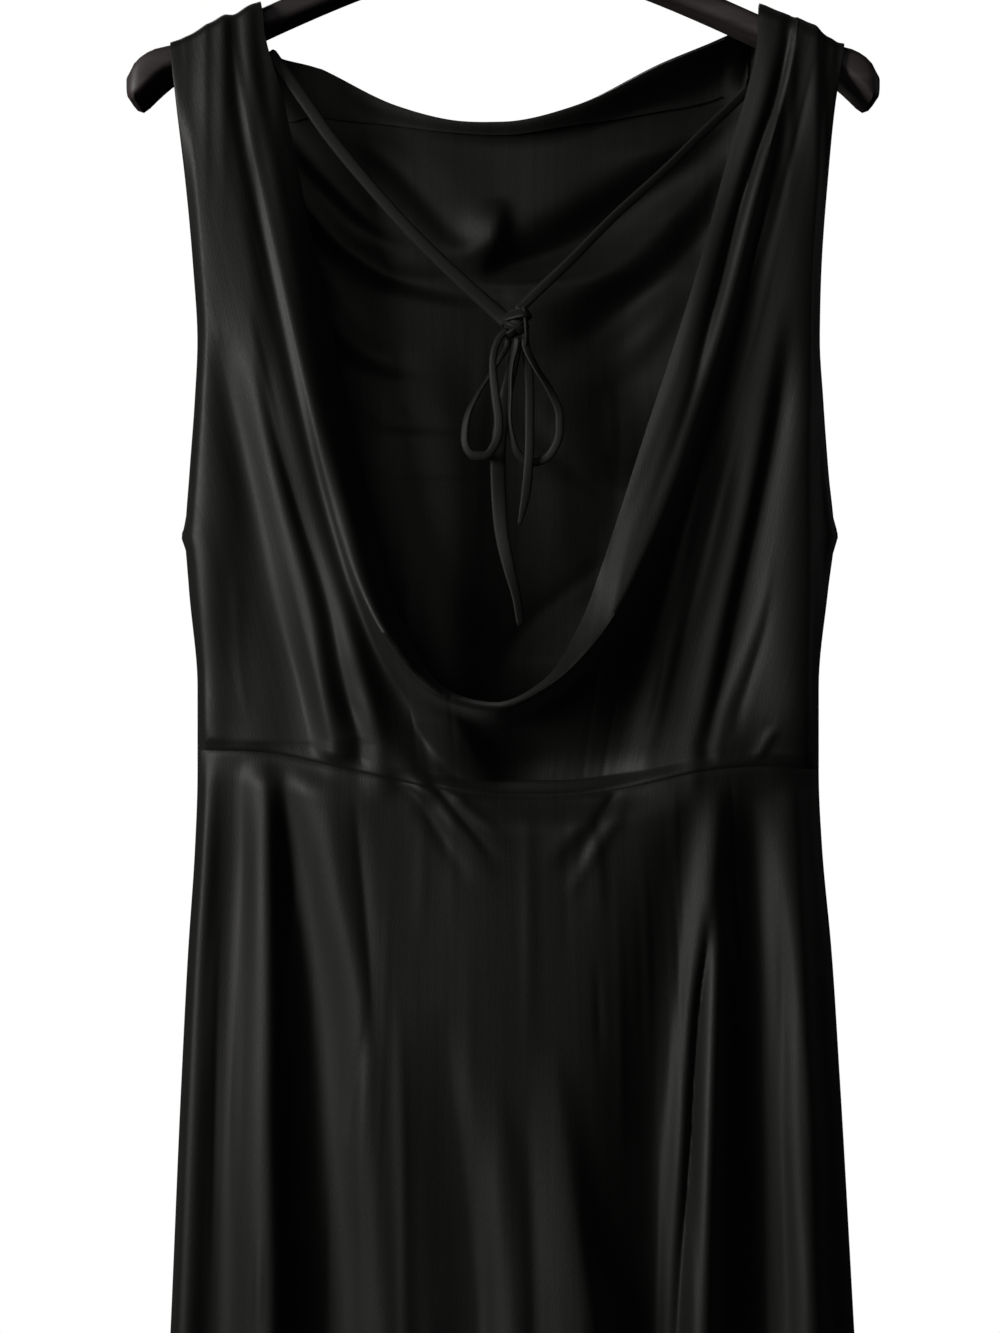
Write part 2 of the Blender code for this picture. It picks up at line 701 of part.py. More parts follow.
def make_front_neck_facing(material):
    """The facing inside the front neckline, made from the front's own points, moved in."""
    places = column(NECKLINE, NECK_COLUMNS, "x")
    x = np.linspace(*FACING_ENDS, FACING_CELLS + 1)
    top = smooth_curve(places, column(NECKLINE, NECK_COLUMNS, "drop"), x)
    low = smooth_curve(places, column(NECKLINE, NECK_COLUMNS, "facing_drop"), x)
    f = np.linspace(0, 1, FACING_DOWN_CELLS + 1)[:, None]
    points = front_points(x + 0 * f, top + (low - top) * f)
    return cloth_wall("front_neck_facing", points, material, 1, inset=CLOTH + SEAM_GAP)


def make_skirt(panel, folds, material):
    """A skirt panel, from the waist seam to the hem."""
    seam = panel + "_drop"
    waist_x, top_drop = waist_stations(seam, WAIST_CELLS)
    top_drop = top_drop + SEAM_GAP / 2
    f = (np.linspace(0, 1, SKIRT_DOWN_CELLS + 1) ** HEM_CROWDING)[:, None]
    drop = top_drop + (HEM_DROP - top_drop) * f
    where = across(waist_x, top_drop)
    where[0], where[-1] = -1, 1
    left, right = outline("left", drop), outline("right", drop)
    points = skirt_points((left + right) / 2 + (right - left) / 2 * where, drop, panel, folds)
    flat = [((slice(None), 0), 1), ((slice(None), -1), 1), ((0,), 2)]
    return cloth_wall(panel + "_skirt", points, material, -1 if panel == "back" else 1, flat)


def arm_section(out, top, height, depth):
    """A round-cornered section of the wooden arm, as points round it."""
    radius = min(HANGER_ROUNDING, 0.45 * height, 0.45 * depth)
    ring = []
    for turn in range(SECTION_POINTS):
        corner, step = divmod(turn, SECTION_POINTS // 4)
        angle = math.pi / 2 * (corner + step / 2)
        side = (1, -1, -1, 1)[corner]
        up = (1, 1, -1, -1)[corner]
        y = side * (depth / 2 - radius) + radius * math.cos(angle)
        z = -top - height / 2 + up * (height / 2 - radius) + radius * math.sin(angle)
        ring.append((out, y, z))
    return ring


def hanger_stations():
    """Places along one arm: each of the table's sections and one between each two."""
    out = column(HANGER_SECTIONS, HANGER_COLUMNS, "out")
    return np.sort(np.concatenate([out, (out[:-1] + out[1:]) / 2]))


def make_hanger(wood):
    """The wooden arms, with the hook's socket in the top of the middle."""
    half = hanger_stations()
    stations = np.concatenate([-half[:0:-1], half])
    sections = np.array(HANGER_SECTIONS, float)
    rows = smooth_table(sections[:, 0], sections, np.abs(stations))
    mesh = bmesh.new()
    rings = []
    for out, (_, top, height, depth) in zip(stations, rows):
        section = arm_section(out, top, height, depth)
        rings.append([mesh.verts.new([MM * value for value in place]) for place in section])
    for ring, after in zip(rings, rings[1:]):
        for i in range(SECTION_POINTS):
            mesh.faces.new((ring[i - 1], ring[i], after[i], after[i - 1]))
    mesh.faces.new(rings[0])
    mesh.faces.new(rings[-1][::-1])
    bmesh.ops.recalc_face_normals(mesh, faces=mesh.faces)
    data = bpy.data.meshes.new("hanger_arms")
    mesh.to_mesh(data)
    mesh.free()
    data.shade_smooth()
    data.set_sharp_from_angle(angle=math.radians(50))
    arms = new_object("hanger_arms", data, wood)
    bpy.ops.mesh.primitive_cylinder_add(
        vertices=16,
        radius=(WIRE_DIAMETER / 2 + SEAM_GAP) * MM,
        depth=2 * HOOK_SOCKET_DEPTH * MM,
        location=(0, 0, -HANGER_SECTIONS[0][1] * MM),
    )
    cutter = bpy.context.active_object
    cutter.name = "hook_socket_cutter"
    cutter.hide_render = True
    cutter.display_type = "WIRE"
    socket = arms.modifiers.new("hook_socket", "BOOLEAN")
    socket.operation = "DIFFERENCE"
    socket.object = cutter
    return arms


def tube(name, points, diameter, material):
    """A round tube along points, with its ends closed."""
    data = bpy.data.curves.new(name, "CURVE")
    data.dimensions = "3D"
    data.bevel_depth = diameter / 2 * MM
    data.bevel_resolution = 2
    data.use_fill_caps = True
    spline = data.splines.new("POLY")
    spline.points.add(len(points) - 1)
    for point, place in zip(spline.points, points):
        point.co = (*(MM * value for value in place), 1)
    return new_object(name, data, material)


def make_hook(steel):
    """The wire hook: up from its socket, a soft bend out, and round over the rail."""
    radius = HOOK_INNER_RADIUS + WIRE_DIAMETER / 2
    centre = -HOOK_INNER_RADIUS
    base = -HANGER_SECTIONS[0][1] - HOOK_SOCKET_DEPTH + 2 * SEAM_GAP
    points = [(0, 0, base + rise) for rise in np.arange(0, HOOK_SHANK, 2 * WIRE_DIAMETER)]
    turn = math.radians(HOOK_START_TURN)
    start = np.array([0, base + HOOK_SHANK])
    end = np.array([radius * math.cos(turn), centre + radius * math.sin(turn)])
    near, far = start + (0, radius / 2), end - (radius / 3, radius / 3)
    for f in np.linspace(0, 1, 7)[:-1]:
        leaving = (1 - f) ** 3 * start + 3 * f * (1 - f) ** 2 * near
        arriving = 3 * f * f * (1 - f) * far + f**3 * end
        place = leaving + arriving
        points.append((place[0], 0, place[1]))
    for angle in range(HOOK_START_TURN, HOOK_END_TURN + 1, 10):
        turn = math.radians(angle)
        points.append((radius * math.cos(turn), 0, centre + radius * math.sin(turn)))
    return tube("hanger_hook", points, WIRE_DIAMETER, steel)


def make_tie(name, material):
    """A stretch of tie, on a smooth curve through its route."""
    route = np.array(TIE_ROUTES[name], float) * (1, 1, -1)
    length = lengths_along(route)
    stations = np.linspace(0, length[-1], round(length[-1] / TIE_STEP) + 1)
    return tube(name, smooth_table(length, route, stations), TIE_DIAMETER, material)


def make_knot(material):
    """The knot of the bow, a small round-edged block."""
    mesh = bmesh.new()
    bmesh.ops.create_cube(mesh, size=1)
    bmesh.ops.scale(mesh, vec=[MM * size for size in KNOT_SIZE], verts=mesh.verts)
    bmesh.ops.bevel(
        mesh, geom=mesh.edges, offset=KNOT_BEVEL * MM, segments=2, profile=0.5, affect="EDGES"
    )
    x, y, drop = KNOT_CENTRE
    bmesh.ops.translate(mesh, vec=(x * MM, y * MM, -drop * MM), verts=mesh.verts)
    data = bpy.data.meshes.new("tie_knot")
    mesh.to_mesh(data)
    mesh.free()
    data.shade_smooth()
    return new_object("tie_knot", data, material)


def main():
    """Clears the scene and makes every piece."""
    for thing in list(bpy.data.objects):
        bpy.data.objects.remove(thing)
    cloth = new_material("black_jersey", (0.012, 0.012, 0.013), 0.5, sheen=0.3)
    wood = new_material("dark_stained_wood", (0.03, 0.022, 0.02), 0.4)
    steel = new_material("hook_steel", (0.6, 0.6, 0.6), 0.25, metallic=1.0)
    make_hanger(wood)
    make_hook(steel)
    make_back_bodice(cloth)
    make_front_bodice(cloth)
    make_front_neck_facing(cloth)
    make_skirt("back", BACK_SKIRT_FOLDS, cloth)
    make_skirt("front", FRONT_SKIRT_FOLDS, cloth)
    for name in TIE_ROUTES:
        make_tie(name, cloth)
    make_knot(cloth)


main()
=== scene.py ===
# %% [markdown]
# # A draped-back maxi dress on a wooden hanger
# This lesson dresses a plain measured model in real cloth. The measured model comes first: it is
# loaded as a fixed frame, and every piece made here goes where that frame says. Sizes are written
# in millimetres, as a pattern cutter would write them, and MM turns them into Blender's metres.
# The origin is the top of the space inside the hook. The dress's draped back looks to -Y, and a
# "drop" is a distance below the origin.

# %% Load the measured model
import math

import bmesh
import bpy
import numpy as np
from mathutils import Matrix, Vector


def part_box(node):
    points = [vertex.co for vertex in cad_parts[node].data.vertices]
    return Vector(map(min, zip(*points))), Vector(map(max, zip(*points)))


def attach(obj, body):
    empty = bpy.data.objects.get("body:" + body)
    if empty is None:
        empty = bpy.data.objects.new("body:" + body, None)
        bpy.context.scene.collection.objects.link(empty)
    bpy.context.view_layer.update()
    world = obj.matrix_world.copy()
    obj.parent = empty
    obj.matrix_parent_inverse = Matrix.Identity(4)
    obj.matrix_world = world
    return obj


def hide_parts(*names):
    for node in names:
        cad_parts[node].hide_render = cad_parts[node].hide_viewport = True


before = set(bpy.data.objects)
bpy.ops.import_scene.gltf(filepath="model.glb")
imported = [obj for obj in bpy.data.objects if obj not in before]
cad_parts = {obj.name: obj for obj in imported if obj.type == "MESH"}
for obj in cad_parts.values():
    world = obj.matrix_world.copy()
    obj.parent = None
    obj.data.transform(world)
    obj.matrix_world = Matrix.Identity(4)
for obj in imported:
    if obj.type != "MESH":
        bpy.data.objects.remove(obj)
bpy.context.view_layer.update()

MM = 0.001
print("nodes:", ", ".join(sorted(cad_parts)))

# %% [markdown]
# ## Three habits of the bench
# An operator acts on all that is selected, so everything is deselected before a new primitive is
# added. A finished piece has its place in its mesh and its object at the origin. And a mesh that
# was extruded or mirrored is closed and turned the right way out before it is shaded.

# %% Define the habits
EVERYTHING = {"location": True, "rotation": True, "scale": True}


def deselect():
    """Nothing selected, ready for a new primitive."""
    bpy.ops.object.select_all(action="DESELECT")


def settled(name):
    """The active object, named, with its place put into its mesh."""
    bpy.ops.object.transform_apply(**EVERYTHING)
    piece = bpy.context.active_object
    piece.name = name
    return piece


def close_and_shade(merge=0.01, edge_angle=40):
    """Leaves edit mode with doubles merged, faces turned outwards and flat edges smoothed."""
    bpy.ops.mesh.select_all(action="SELECT")
    bpy.ops.mesh.remove_doubles(threshold=merge * MM)
    bpy.ops.mesh.normals_make_consistent(inside=False)
    bpy.ops.object.mode_set(mode="OBJECT")
    bpy.ops.object.shade_smooth_by_angle(angle=math.radians(edge_angle))


deselect()
print("selected:", len(bpy.context.selected_objects))

# %% [markdown]
# ## The camera
# The dress is looked at from behind, level with the middle of its back, from rather near. The near
# place matters: the front of the neckline then shows smaller than the drape before it. The dress
# is taller than the camera's view, so the hook and the hem are cut off.

# %% Place the camera
CAMERA_PLACE = (-1.8, -1300.0, -513.0)
LENS = 59.56
camera_data = bpy.data.cameras.new("camera")
camera_data.lens = LENS
camera = bpy.data.objects.new("camera", camera_data)
camera.location = Vector(CAMERA_PLACE) * MM
camera.rotation_euler = (math.pi / 2, 0, 0)
bpy.context.scene.collection.objects.link(camera)
bpy.context.scene.camera = camera
print("camera at", tuple(round(v, 4) for v in camera.location), "lens", LENS)

# %% [markdown]
# ## Curves that pass through measured places
# Nearly everything here is a smooth curve through a few measured places: the side of the dress,
# the seam at the waist, the ridge of the drape, a fold. One helper reads them all. It never swings
# past its places, as a plain cubic would, so a fold that is written as flat at its end stays flat.

# %% Define the curve helpers
def smooth_curve(keys, values, at):
    """A smooth curve through pairs of key and value, read at other keys."""
    keys, values = np.asarray(keys, float), np.asarray(values, float)
    slopes = np.gradient(values, keys)
    steps = np.diff(values)
    slopes[1:-1][steps[:-1] * steps[1:] <= 0] = 0
    at = np.clip(at, keys[0], keys[-1])
    start = np.clip(np.searchsorted(keys, at) - 1, 0, len(keys) - 2)
    step = keys[start + 1] - keys[start]
    f = (at - keys[start]) / step
    ends = (1 + 2 * f) * (1 - f) ** 2 * values[start] + f * f * (3 - 2 * f) * values[start + 1]
    turns = f * (1 - f) ** 2 * slopes[start] - f * f * (1 - f) * slopes[start + 1]
    return ends + step * turns


def smooth_table(keys, values, at):
    """Several columns read along one smooth curve."""
    return np.stack([smooth_curve(keys, one, at) for one in np.asarray(values, float).T], axis=-1)


def lengths_along(places):
    """The length run from the first place to each one."""
    steps = np.linalg.norm(np.diff(places, axis=0), axis=1)
    return np.concatenate([[0], np.cumsum(steps)])


def ease(fraction):
    """0 below 0, 1 above 1, and a soft rise between them."""
    fraction = np.clip(fraction, 0, 1)
    return fraction * fraction * (3 - 2 * fraction)


def bump(distance, left, right, sharpness=2.0):
    """A ridge of height 1, with its own reach on each side. A low sharpness gives it a crest."""
    return np.exp(-(np.abs(distance / np.where(distance < 0, left, right)) ** sharpness))


# %% [markdown]
# ## The ties
# Two strings come from inside the shoulders and are tied in a bow. Each is a narrow strip of the
# dress's own jersey, sewn into a tube and pressed flat, so it twists as it hangs: wide where its
# face is seen, thin where it is edge on. A curve with a round bevel can't do that. A mesh tube
# can: an oval ring is swept along the route, and a few turns written beside the route twist it.
# The routes are those of the measured model, moved a few millimetres where the left string comes
# from behind its band and the right tail crosses its loop, so each tie keeps its true length.

# %% Write down the routes of the ties
TIE_ROUTES = {
    "tie_string_left": (
        (-136, -16, 155), (-129, -15.5, 165), (-120, -15, 177), (-101, -14, 204),
        (-78, -12.5, 232), (-52.5, -11, 260), (-25.5, -9.5, 286), (-1.7, -8.5, 307.3),
        (3, -9, 311.5),
    ),
    "tie_string_right": (
        (143, -20.7, 177), (134, -19, 186), (120, -17.5, 199), (94, -15, 224), (65, -12.5, 250),
        (40, -10.5, 275), (12.2, -8.5, 301.2), (8.5, -9, 305),
    ),
    "tie_loop_left": (
        (3, -11.2, 316), (-1, -11.6, 319.5), (-4.4, -12.2, 326), (-6, -12.8, 337),
        (-4.5, -13, 354), (-2.5, -13, 371), (-4.5, -13, 383), (-11, -13, 390), (-18.5, -12.5, 389),
        (-22.5, -12, 380), (-21, -11, 367), (-15, -9.5, 354), (-7.5, -7.5, 342), (-1, -6.6, 331),
        (2.6, -6.4, 325), (3, -6.4, 320.5),
    ),
    "tie_loop_right": (
        (13, -11.2, 320.5), (13.3, -11.4, 325), (19, -12.6, 338), (27.5, -13, 352),
        (33, -12.5, 367), (32, -11, 381), (25, -8.5, 391), (17, -7.5, 393.5), (9.5, -8.5, 389),
        (4.5, -10.5, 376), (4.2, -12, 352), (5.5, -11.6, 334), (7.7, -11.2, 325),
        (8, -11.2, 320.5),
    ),
    "tie_tail_left": (
        (8, -6.4, 320.5), (7.8, -6.3, 325), (6, -5.5, 335), (2, -5, 352), (-1.5, -5, 372),
        (-3, -5.5, 392), (-2.5, -6, 413), (-0.5, -6, 437), (3.5, -6, 455), (8, -6, 472),
        (10.5, -6, 489),
    ),
    "tie_tail_right": (
        (13, -6.4, 320.4), (13.2, -6.8, 325), (14.5, -7.6, 335), (15.5, -8.6, 350),
        (15.6, -10.4, 368), (15.2, -11.8, 390), (13, -9, 414), (9.5, -7, 430),
    ),
}
# For each tie, from its start to its end: the part of the way, its width, its thickness, and how
# far its face is turned from the camera, in degrees.
TIE_FORMS = {
    "tie_string_left": (
        (0, 7, 2.2, 6), (0.15, 7.5, 2.2, 0), (0.5, 7, 2.2, -6), (0.85, 8, 2.4, -2), (1, 9, 2.6, 0),
    ),
    "tie_string_right": (
        (0, 6, 2.2, 24), (0.2, 5.8, 2.2, 26), (0.5, 5.6, 2.2, 24), (0.85, 5.8, 2.4, 14),
        (1, 6, 2.6, 0),
    ),
    "tie_loop_left": (
        (0, 4.2, 2.2, 0), (0.1, 4.2, 2.2, -4), (0.22, 5.2, 2.2, -12), (0.35, 5.6, 2.4, -10),
        (0.5, 5, 2.4, 10), (0.65, 5, 2.4, 35), (0.8, 4, 2.2, 64), (1, 4.5, 2.4, 30),
    ),
    "tie_loop_right": (
        (0, 4.5, 2.2, 0), (0.14, 5, 2.2, 40), (0.28, 5, 2.2, 0), (0.42, 5, 2.2, -6),
        (0.55, 4.8, 2.2, 10), (0.7, 4.4, 2.2, 50), (0.85, 4.2, 2.2, 62), (1, 4.2, 2.2, 30),
    ),
    "tie_tail_left": (
        (0, 6, 2.4, 10), (0.15, 7, 2.2, 0), (0.45, 9, 2, 8), (0.7, 8, 2, -10), (0.9, 6, 2, 15),
        (1, 5, 1.6, 20),
    ),
    "tie_tail_right": (
        (0, 5, 2.2, 0), (0.2, 5.5, 2, 0), (0.6, 5.5, 2, -4), (0.9, 4.6, 1.8, 4), (1, 2.2, 1.4, 0),
    ),
}
print("ties:", len(TIE_ROUTES))

# %% Draw one oval ring and sweep it
TIE_STEP = 1.6
RING_POINTS = 16
RING_ANGLES = np.linspace(0, 2 * math.pi, RING_POINTS, endpoint=False)
# A pressed tube is a little thicker along its two folded edges than in its middle.
RING_OUT = np.cos(RING_ANGLES)
RING_UP = np.sin(RING_ANGLES) * (0.86 + 0.3 * RING_OUT**2)
# how wide a tie's flow map is, and how far its end rings are drawn in
TIE_ROUND = 16.0
SOFT_END = 0.72


def unit(rows):
    """Directions of length 1."""
    return rows / np.linalg.norm(rows, axis=-1, keepdims=True)


def swept(line, wide, thin, width, thickness):
    """Oval rings along a line. Width and thickness are one number, or one for each ring."""
    return (
        line[:, None]
        + wide[:, None] * (RING_OUT[:, None] * width / 2)
        + thin[:, None] * (RING_UP[:, None] * thickness / 2)
    )


def ring_faces(count, closed=False):
    """The faces between rings. In a closed tube the rings run the other way round."""
    faces = []
    for r in range(count if closed else count - 1):
        here, after = r * RING_POINTS, (r + 1) % count * RING_POINTS
        for i in range(RING_POINTS):
            j = (i + 1) % RING_POINTS
            corners = (here + i, here + j, after + j, after + i)
            faces.append(corners[:1] + corners[:0:-1] if closed else corners)
    return faces


def ribbon(line, form):
    """An open flat tube: rings along a line, each with its width, thickness and turn."""
    run = unit(np.gradient(line, axis=0))
    across = unit(np.cross(run, (0.0, -1.0, 0.0)))
    face = np.cross(across, run)
    turn = np.radians(form[:, 2:3])
    wide = across * np.cos(turn) + face * np.sin(turn)
    thin = face * np.cos(turn) - across * np.sin(turn)
    rings = swept(line, wide, thin, form[:, None, 0:1], form[:, None, 1:2])
    last = (len(line) - 1) * RING_POINTS
    faces = ring_faces(len(line))
    faces.append(tuple(range(RING_POINTS))[::-1])
    faces.append(tuple(last + i for i in range(RING_POINTS)))
    around = RING_ANGLES / (2 * math.pi) * TIE_ROUND
    flow = np.stack(np.broadcast_arrays(around, lengths_along(line)[:, None]), axis=-1)
    return rings.reshape(-1, 3), faces, flow.reshape(-1, 2)


def new_piece(name, points, faces, flow):
    """An object from points in millimetres, with its own map of the cloth's run."""
    mesh = bpy.data.meshes.new(name)
    mesh.from_pydata((np.asarray(points) * MM).tolist(), [], [list(face) for face in faces])
    corner = np.empty(len(mesh.loops), np.int32)
    mesh.loops.foreach_get("vertex_index", corner)
    layer = mesh.uv_layers.new(name="flow")
    layer.data.foreach_set("uv", (np.asarray(flow)[corner] * MM).astype(np.float32).ravel())
    mesh.shade_smooth()
    piece = bpy.data.objects.new(name, mesh)
    bpy.context.scene.collection.objects.link(piece)
    return piece


def joined(parts):
    """Several sets of points, faces and flow as one."""
    points, faces, flow, start = [], [], [], 0
    for some_points, some_faces, some_flow in parts:
        points.append(some_points)
        faces += [tuple(start + i for i in face) for face in some_faces]
        flow.append(some_flow)
        start += len(some_points)
    return np.concatenate(points), faces, np.concatenate(flow)


# %% Make the ties
ties, tie_lines = {}, {}
for name, route in TIE_ROUTES.items():
    places = np.array(route, float) * (1, 1, -1)
    along = lengths_along(places)
    stations = np.linspace(0, along[-1], round(along[-1] / TIE_STEP) + 1)
    form = np.array(TIE_FORMS[name], float)
    line = smooth_table(along, places, stations)
    shape = smooth_table(form[:, 0], form[:, 1:], stations / along[-1])
    # The last two rings are drawn in, so that an end is soft.
    ends = np.minimum(stations, along[-1] - stations) / TIE_STEP
    shape[:, :2] *= (SOFT_END + (1 - SOFT_END) * np.clip(ends, 0, 1))[:, None]
    ties[name] = new_piece(name + "_jersey", *ribbon(line, shape))
    tie_lines[name] = line
    print(name, round(lengths_along(line)[-1]), "mm")

# %% [markdown]
# ## The knot of the bow
# The knot is the same strip again: one turn goes round the crossing and lies flat to the light,
# two more slant under it, half hidden, and a slack bight stands edge on at its right. Modelled as
# a block it would look like a bead, so it is swept from the same ribbon, round a small soft core.

# %% Write down the turns of the knot
KNOT_TURNS = (
    # each turn's route, and its width
    # the turn that closes the knot
    (((1.6, -8.4, 308.6), (4.4, -11.8, 308), (8.6, -14.2, 307.2), (12.6, -15.6, 306.6),
      (14.8, -12, 306.4), (13, -7, 307), (8, -4.2, 307.8), (3.6, -5.2, 308.4)), 7.6),
    # two slanting turns under it
    (((1.6, -9, 312.6), (4, -12.4, 314.4), (8, -13.2, 316), (12, -11.8, 316.4),
      (13.8, -9, 315.2), (11.6, -5.8, 313.8), (7.6, -4.8, 312.6), (3.8, -5.8, 312)), 5.0),
    (((2.2, -9.2, 319.4), (4.6, -11.8, 318.4), (8, -12.6, 316), (11.6, -11.4, 313.4),
      (13.4, -9, 312.8), (11.4, -6.2, 314.6), (8, -5.2, 317), (4.6, -6.4, 319)), 4.6),
    # the slack bight at the right
    (((12.4, -14.2, 303.8), (13, -15.4, 309), (13.6, -15, 316), (13.8, -13, 323),
      (13.2, -10.6, 326), (12.4, -9.2, 321), (12, -9, 312), (12, -10.4, 304.6)), 2.8),
)
TURN_THICKNESS = 2.6
TURN_RINGS = 44
CORE_HALF_SIZE = (0.0060, 0.0050, 0.0080)
print("turns of the knot:", len(KNOT_TURNS))


# %% Wrap the knot
def closed_line(route):
    """A smooth closed line through places."""
    places = np.array(route, float) * (1, 1, -1)
    looped = np.concatenate([places[-2:], places, places[:3]])
    along = lengths_along(looped)
    stations = np.linspace(along[2], along[len(places) + 2], TURN_RINGS, endpoint=False)
    return smooth_table(along, looped, stations)


def turn_ribbon(line, width, centre):
    """A closed flat tube whose face looks away from a centre."""
    run = unit(np.roll(line, -1, axis=0) - np.roll(line, 1, axis=0))
    away = line - centre
    away = unit(away - run * (away * run).sum(1, keepdims=True))
    rings = swept(line, np.cross(run, away), away, width, TURN_THICKNESS)
    ring_numbers = np.arange(len(line))[:, None] * 1.0
    flow = np.stack(np.broadcast_arrays(RING_OUT * width / 2, ring_numbers), axis=-1)
    return rings.reshape(-1, 3), ring_faces(len(line), closed=True), flow.reshape(-1, 2)


knot_low, knot_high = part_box("tie_knot")
knot_centre = np.array((knot_low + knot_high) / 2) / MM
turns = [turn_ribbon(closed_line(route), width, knot_centre) for route, width in KNOT_TURNS]
knot = new_piece("tie_knot_turns", *joined(turns))
deselect()
bpy.ops.mesh.primitive_uv_sphere_add(
    segments=20, ring_count=12, radius=1, location=knot_centre * MM, scale=CORE_HALF_SIZE
)
knot_core = settled("tie_knot_core")
bpy.ops.object.shade_smooth()
knot_core.data.uv_layers[0].name = "flow"
print("points in the knot:", len(knot.data.vertices))

# %% [markdown]
# ## The dress, seen flat
# A pattern cutter starts from a flat drawing. These tables are that drawing: where the sides run,
# how deep the dress stands at each height, the seam at the waist, the ridge of the drape and the
# high neckline. They follow the measured model's tables, with the drape's band and ridge refined,
# so that the fine cloth made from them fills the same space as its solids.

# %% Write down the drawing of the dress
HEM_DROP = 1590.0
UNDERARM_DROP = 436.0
SHOULDER_DROP = 130.0
CLOTH = 1.1
SEAM_GAP = 0.3
HANGER_COLUMNS = ("out", "top_drop", "height", "depth")
HANGER_SECTIONS = (
    (0, 72, 26, 24), (30, 79, 21, 23), (75, 98, 16, 25), (125, 120.5, 14, 26),
    (165, 139, 13.5, 32), (193, 151.5, 13.5, 42), (204, 154.5, 18.5, 43), (212, 159.5, 21.5, 42),
    (217, 165.5, 17, 38), (219.5, 171, 9, 30),
)
CLOTH_TURN_RADIUS = 6.0
STRAP_DEPTH = 22.5
CLOTH_ABOVE_WOOD = 0.4
OUTLINE_COLUMNS = ("drop", "left", "right", "opening", "back", "front")
OUTLINE = (
    (100, -195, 199, 22.5, 22.5, 22.5), (150, -193, 198, 22.5, 22.5, 22.5),
    (185, -189, 192, 20.5, 24, 22), (230, -184, 188, 16, 27, 22), (280, -180, 185, 11.5, 30, 22.5),
    (320, -178, 184.5, 8, 32, 23.5), (357, -180, 187, 4.5, 34, 24.5),
    (400, -183.5, 190.5, 2, 35, 25), (436, -186, 194, 0.15, 36, 26),
    (468, -184, 190.5, 0.15, 37, 27), (525, -179, 185, 0.15, 36, 28),
    (575, -179, 185, 0.15, 31, 29), (620, -180.5, 187, 0.15, 31, 30),
    (680, -184.5, 192.5, 0.15, 33, 31), (757, -188.5, 197.5, 0.15, 36, 33),
    (906, -195, 206, 0.15, 41, 38), (1250, -213, 225, 0.15, 48, 46),
    (1590, -232, 243, 0.15, 54, 52),
)
ROUNDNESS = 2.3
ON_THE_SIDE = 0.9998
WAIST_COLUMNS = ("x", "back_drop", "front_drop")
WAIST_SEAM = (
    (-179, 562, 562), (-140, 563, 566), (-88, 573, 573), (-48, 581.5, 577), (0, 588.5, 580),
    (30, 588.5, 580), (67, 584.5, 578), (120, 573, 575), (150, 571, 573.5), (185, 573.5, 573.5),
)
DRAPE = (
    # x, drop, width of the turned-in band, how far it sinks, how far the ridge stands out
    (-160, 118, 16, 2, 1), (-156, 154, 19, 4, 1), (-148, 195, 22, 8, 1), (-129, 284, 21, 16, 1.2),
    (-112, 358, 20, 22, 1.6), (-93.5, 435, 19, 24, 2.6), (-83, 465, 15.5, 22.5, 4.6),
    (-69, 492, 11, 20, 8), (-34, 529.5, 3, 15, 19), (-4, 536.5, 2, 15, 22), (24, 525, 3, 15, 21),
    (54, 496, 12, 12, 15), (82, 446, 21, 10, 10), (112, 371, 26, 8, 8), (130, 309, 24, 7, 7),
    (147, 237, 21, 6, 5), (165, 172, 21, 4, 3), (174, 124, 24, 1, 1),
)
LEG_END_DROP = 466.0
NECK_COLUMNS = ("x", "drop", "facing_drop")
NECKLINE = (
    (-149, 113, 150), (-148, 127, 160), (-143, 141, 172), (-108, 156, 184), (-64, 178, 189),
    (-32, 187, 193), (0, 188.5, 194.5), (45, 179, 188), (89, 158, 180), (131, 138, 169),
    (147.5, 127, 160), (150, 113, 150),
)
FACING_ENDS = (-147, 148)
print("dress", round(HEM_DROP - SHOULDER_DROP), "mm from shoulder to hem")


# %% Read the drawing at any place
def table_value(table, columns, name, at):
    """A named column of a table, read along its first column."""
    keys, *values = np.array(table, float).T
    return smooth_curve(keys, values[columns.index(name) - 1], at)


def outline(name, drop):
    """A column of the outline table at a drop."""
    return table_value(OUTLINE, OUTLINE_COLUMNS, name, drop)


def waist_drop(name, x):
    """The drop of the waist seam at x, on the back or on the front."""
    return table_value(WAIST_SEAM, WAIST_COLUMNS, name, x)


def neckline(name, x):
    """The drop of the neckline or of its facing's lower edge at x."""
    return table_value(NECKLINE, NECK_COLUMNS, name, x)


def wood_top(x):
    """The drop of the top of the hanger's arm at x."""
    return table_value(HANGER_SECTIONS, HANGER_COLUMNS, "top_drop", np.abs(x))


def side_to_side(x, drop):
    """-1 at the left side of the dress and 1 at its right side."""
    left, right = outline("left", drop), outline("right", drop)
    return (2 * x - left - right) / (right - left)


def place_across(where, drop):
    """The x of a place between -1 at the left side and 1 at the right."""
    left, right = outline("left", drop), outline("right", drop)
    return (left + right) / 2 + (right - left) / 2 * where


def smooth_depth(x, drop, panel):
    """How far a panel stands from the middle plane, before its folds."""
    opening = outline("opening", drop)
    towards_side = np.abs(side_to_side(x, drop))
    inside = np.where(towards_side > ON_THE_SIDE, 0, 1 - towards_side**ROUNDNESS)
    rounding = np.maximum(inside, 0) ** (1 / ROUNDNESS)
    return opening + (outline(panel, drop) - opening) * rounding


print("waist seam at", round(float(waist_drop("back_drop", 0))), "mm in the middle of the back")
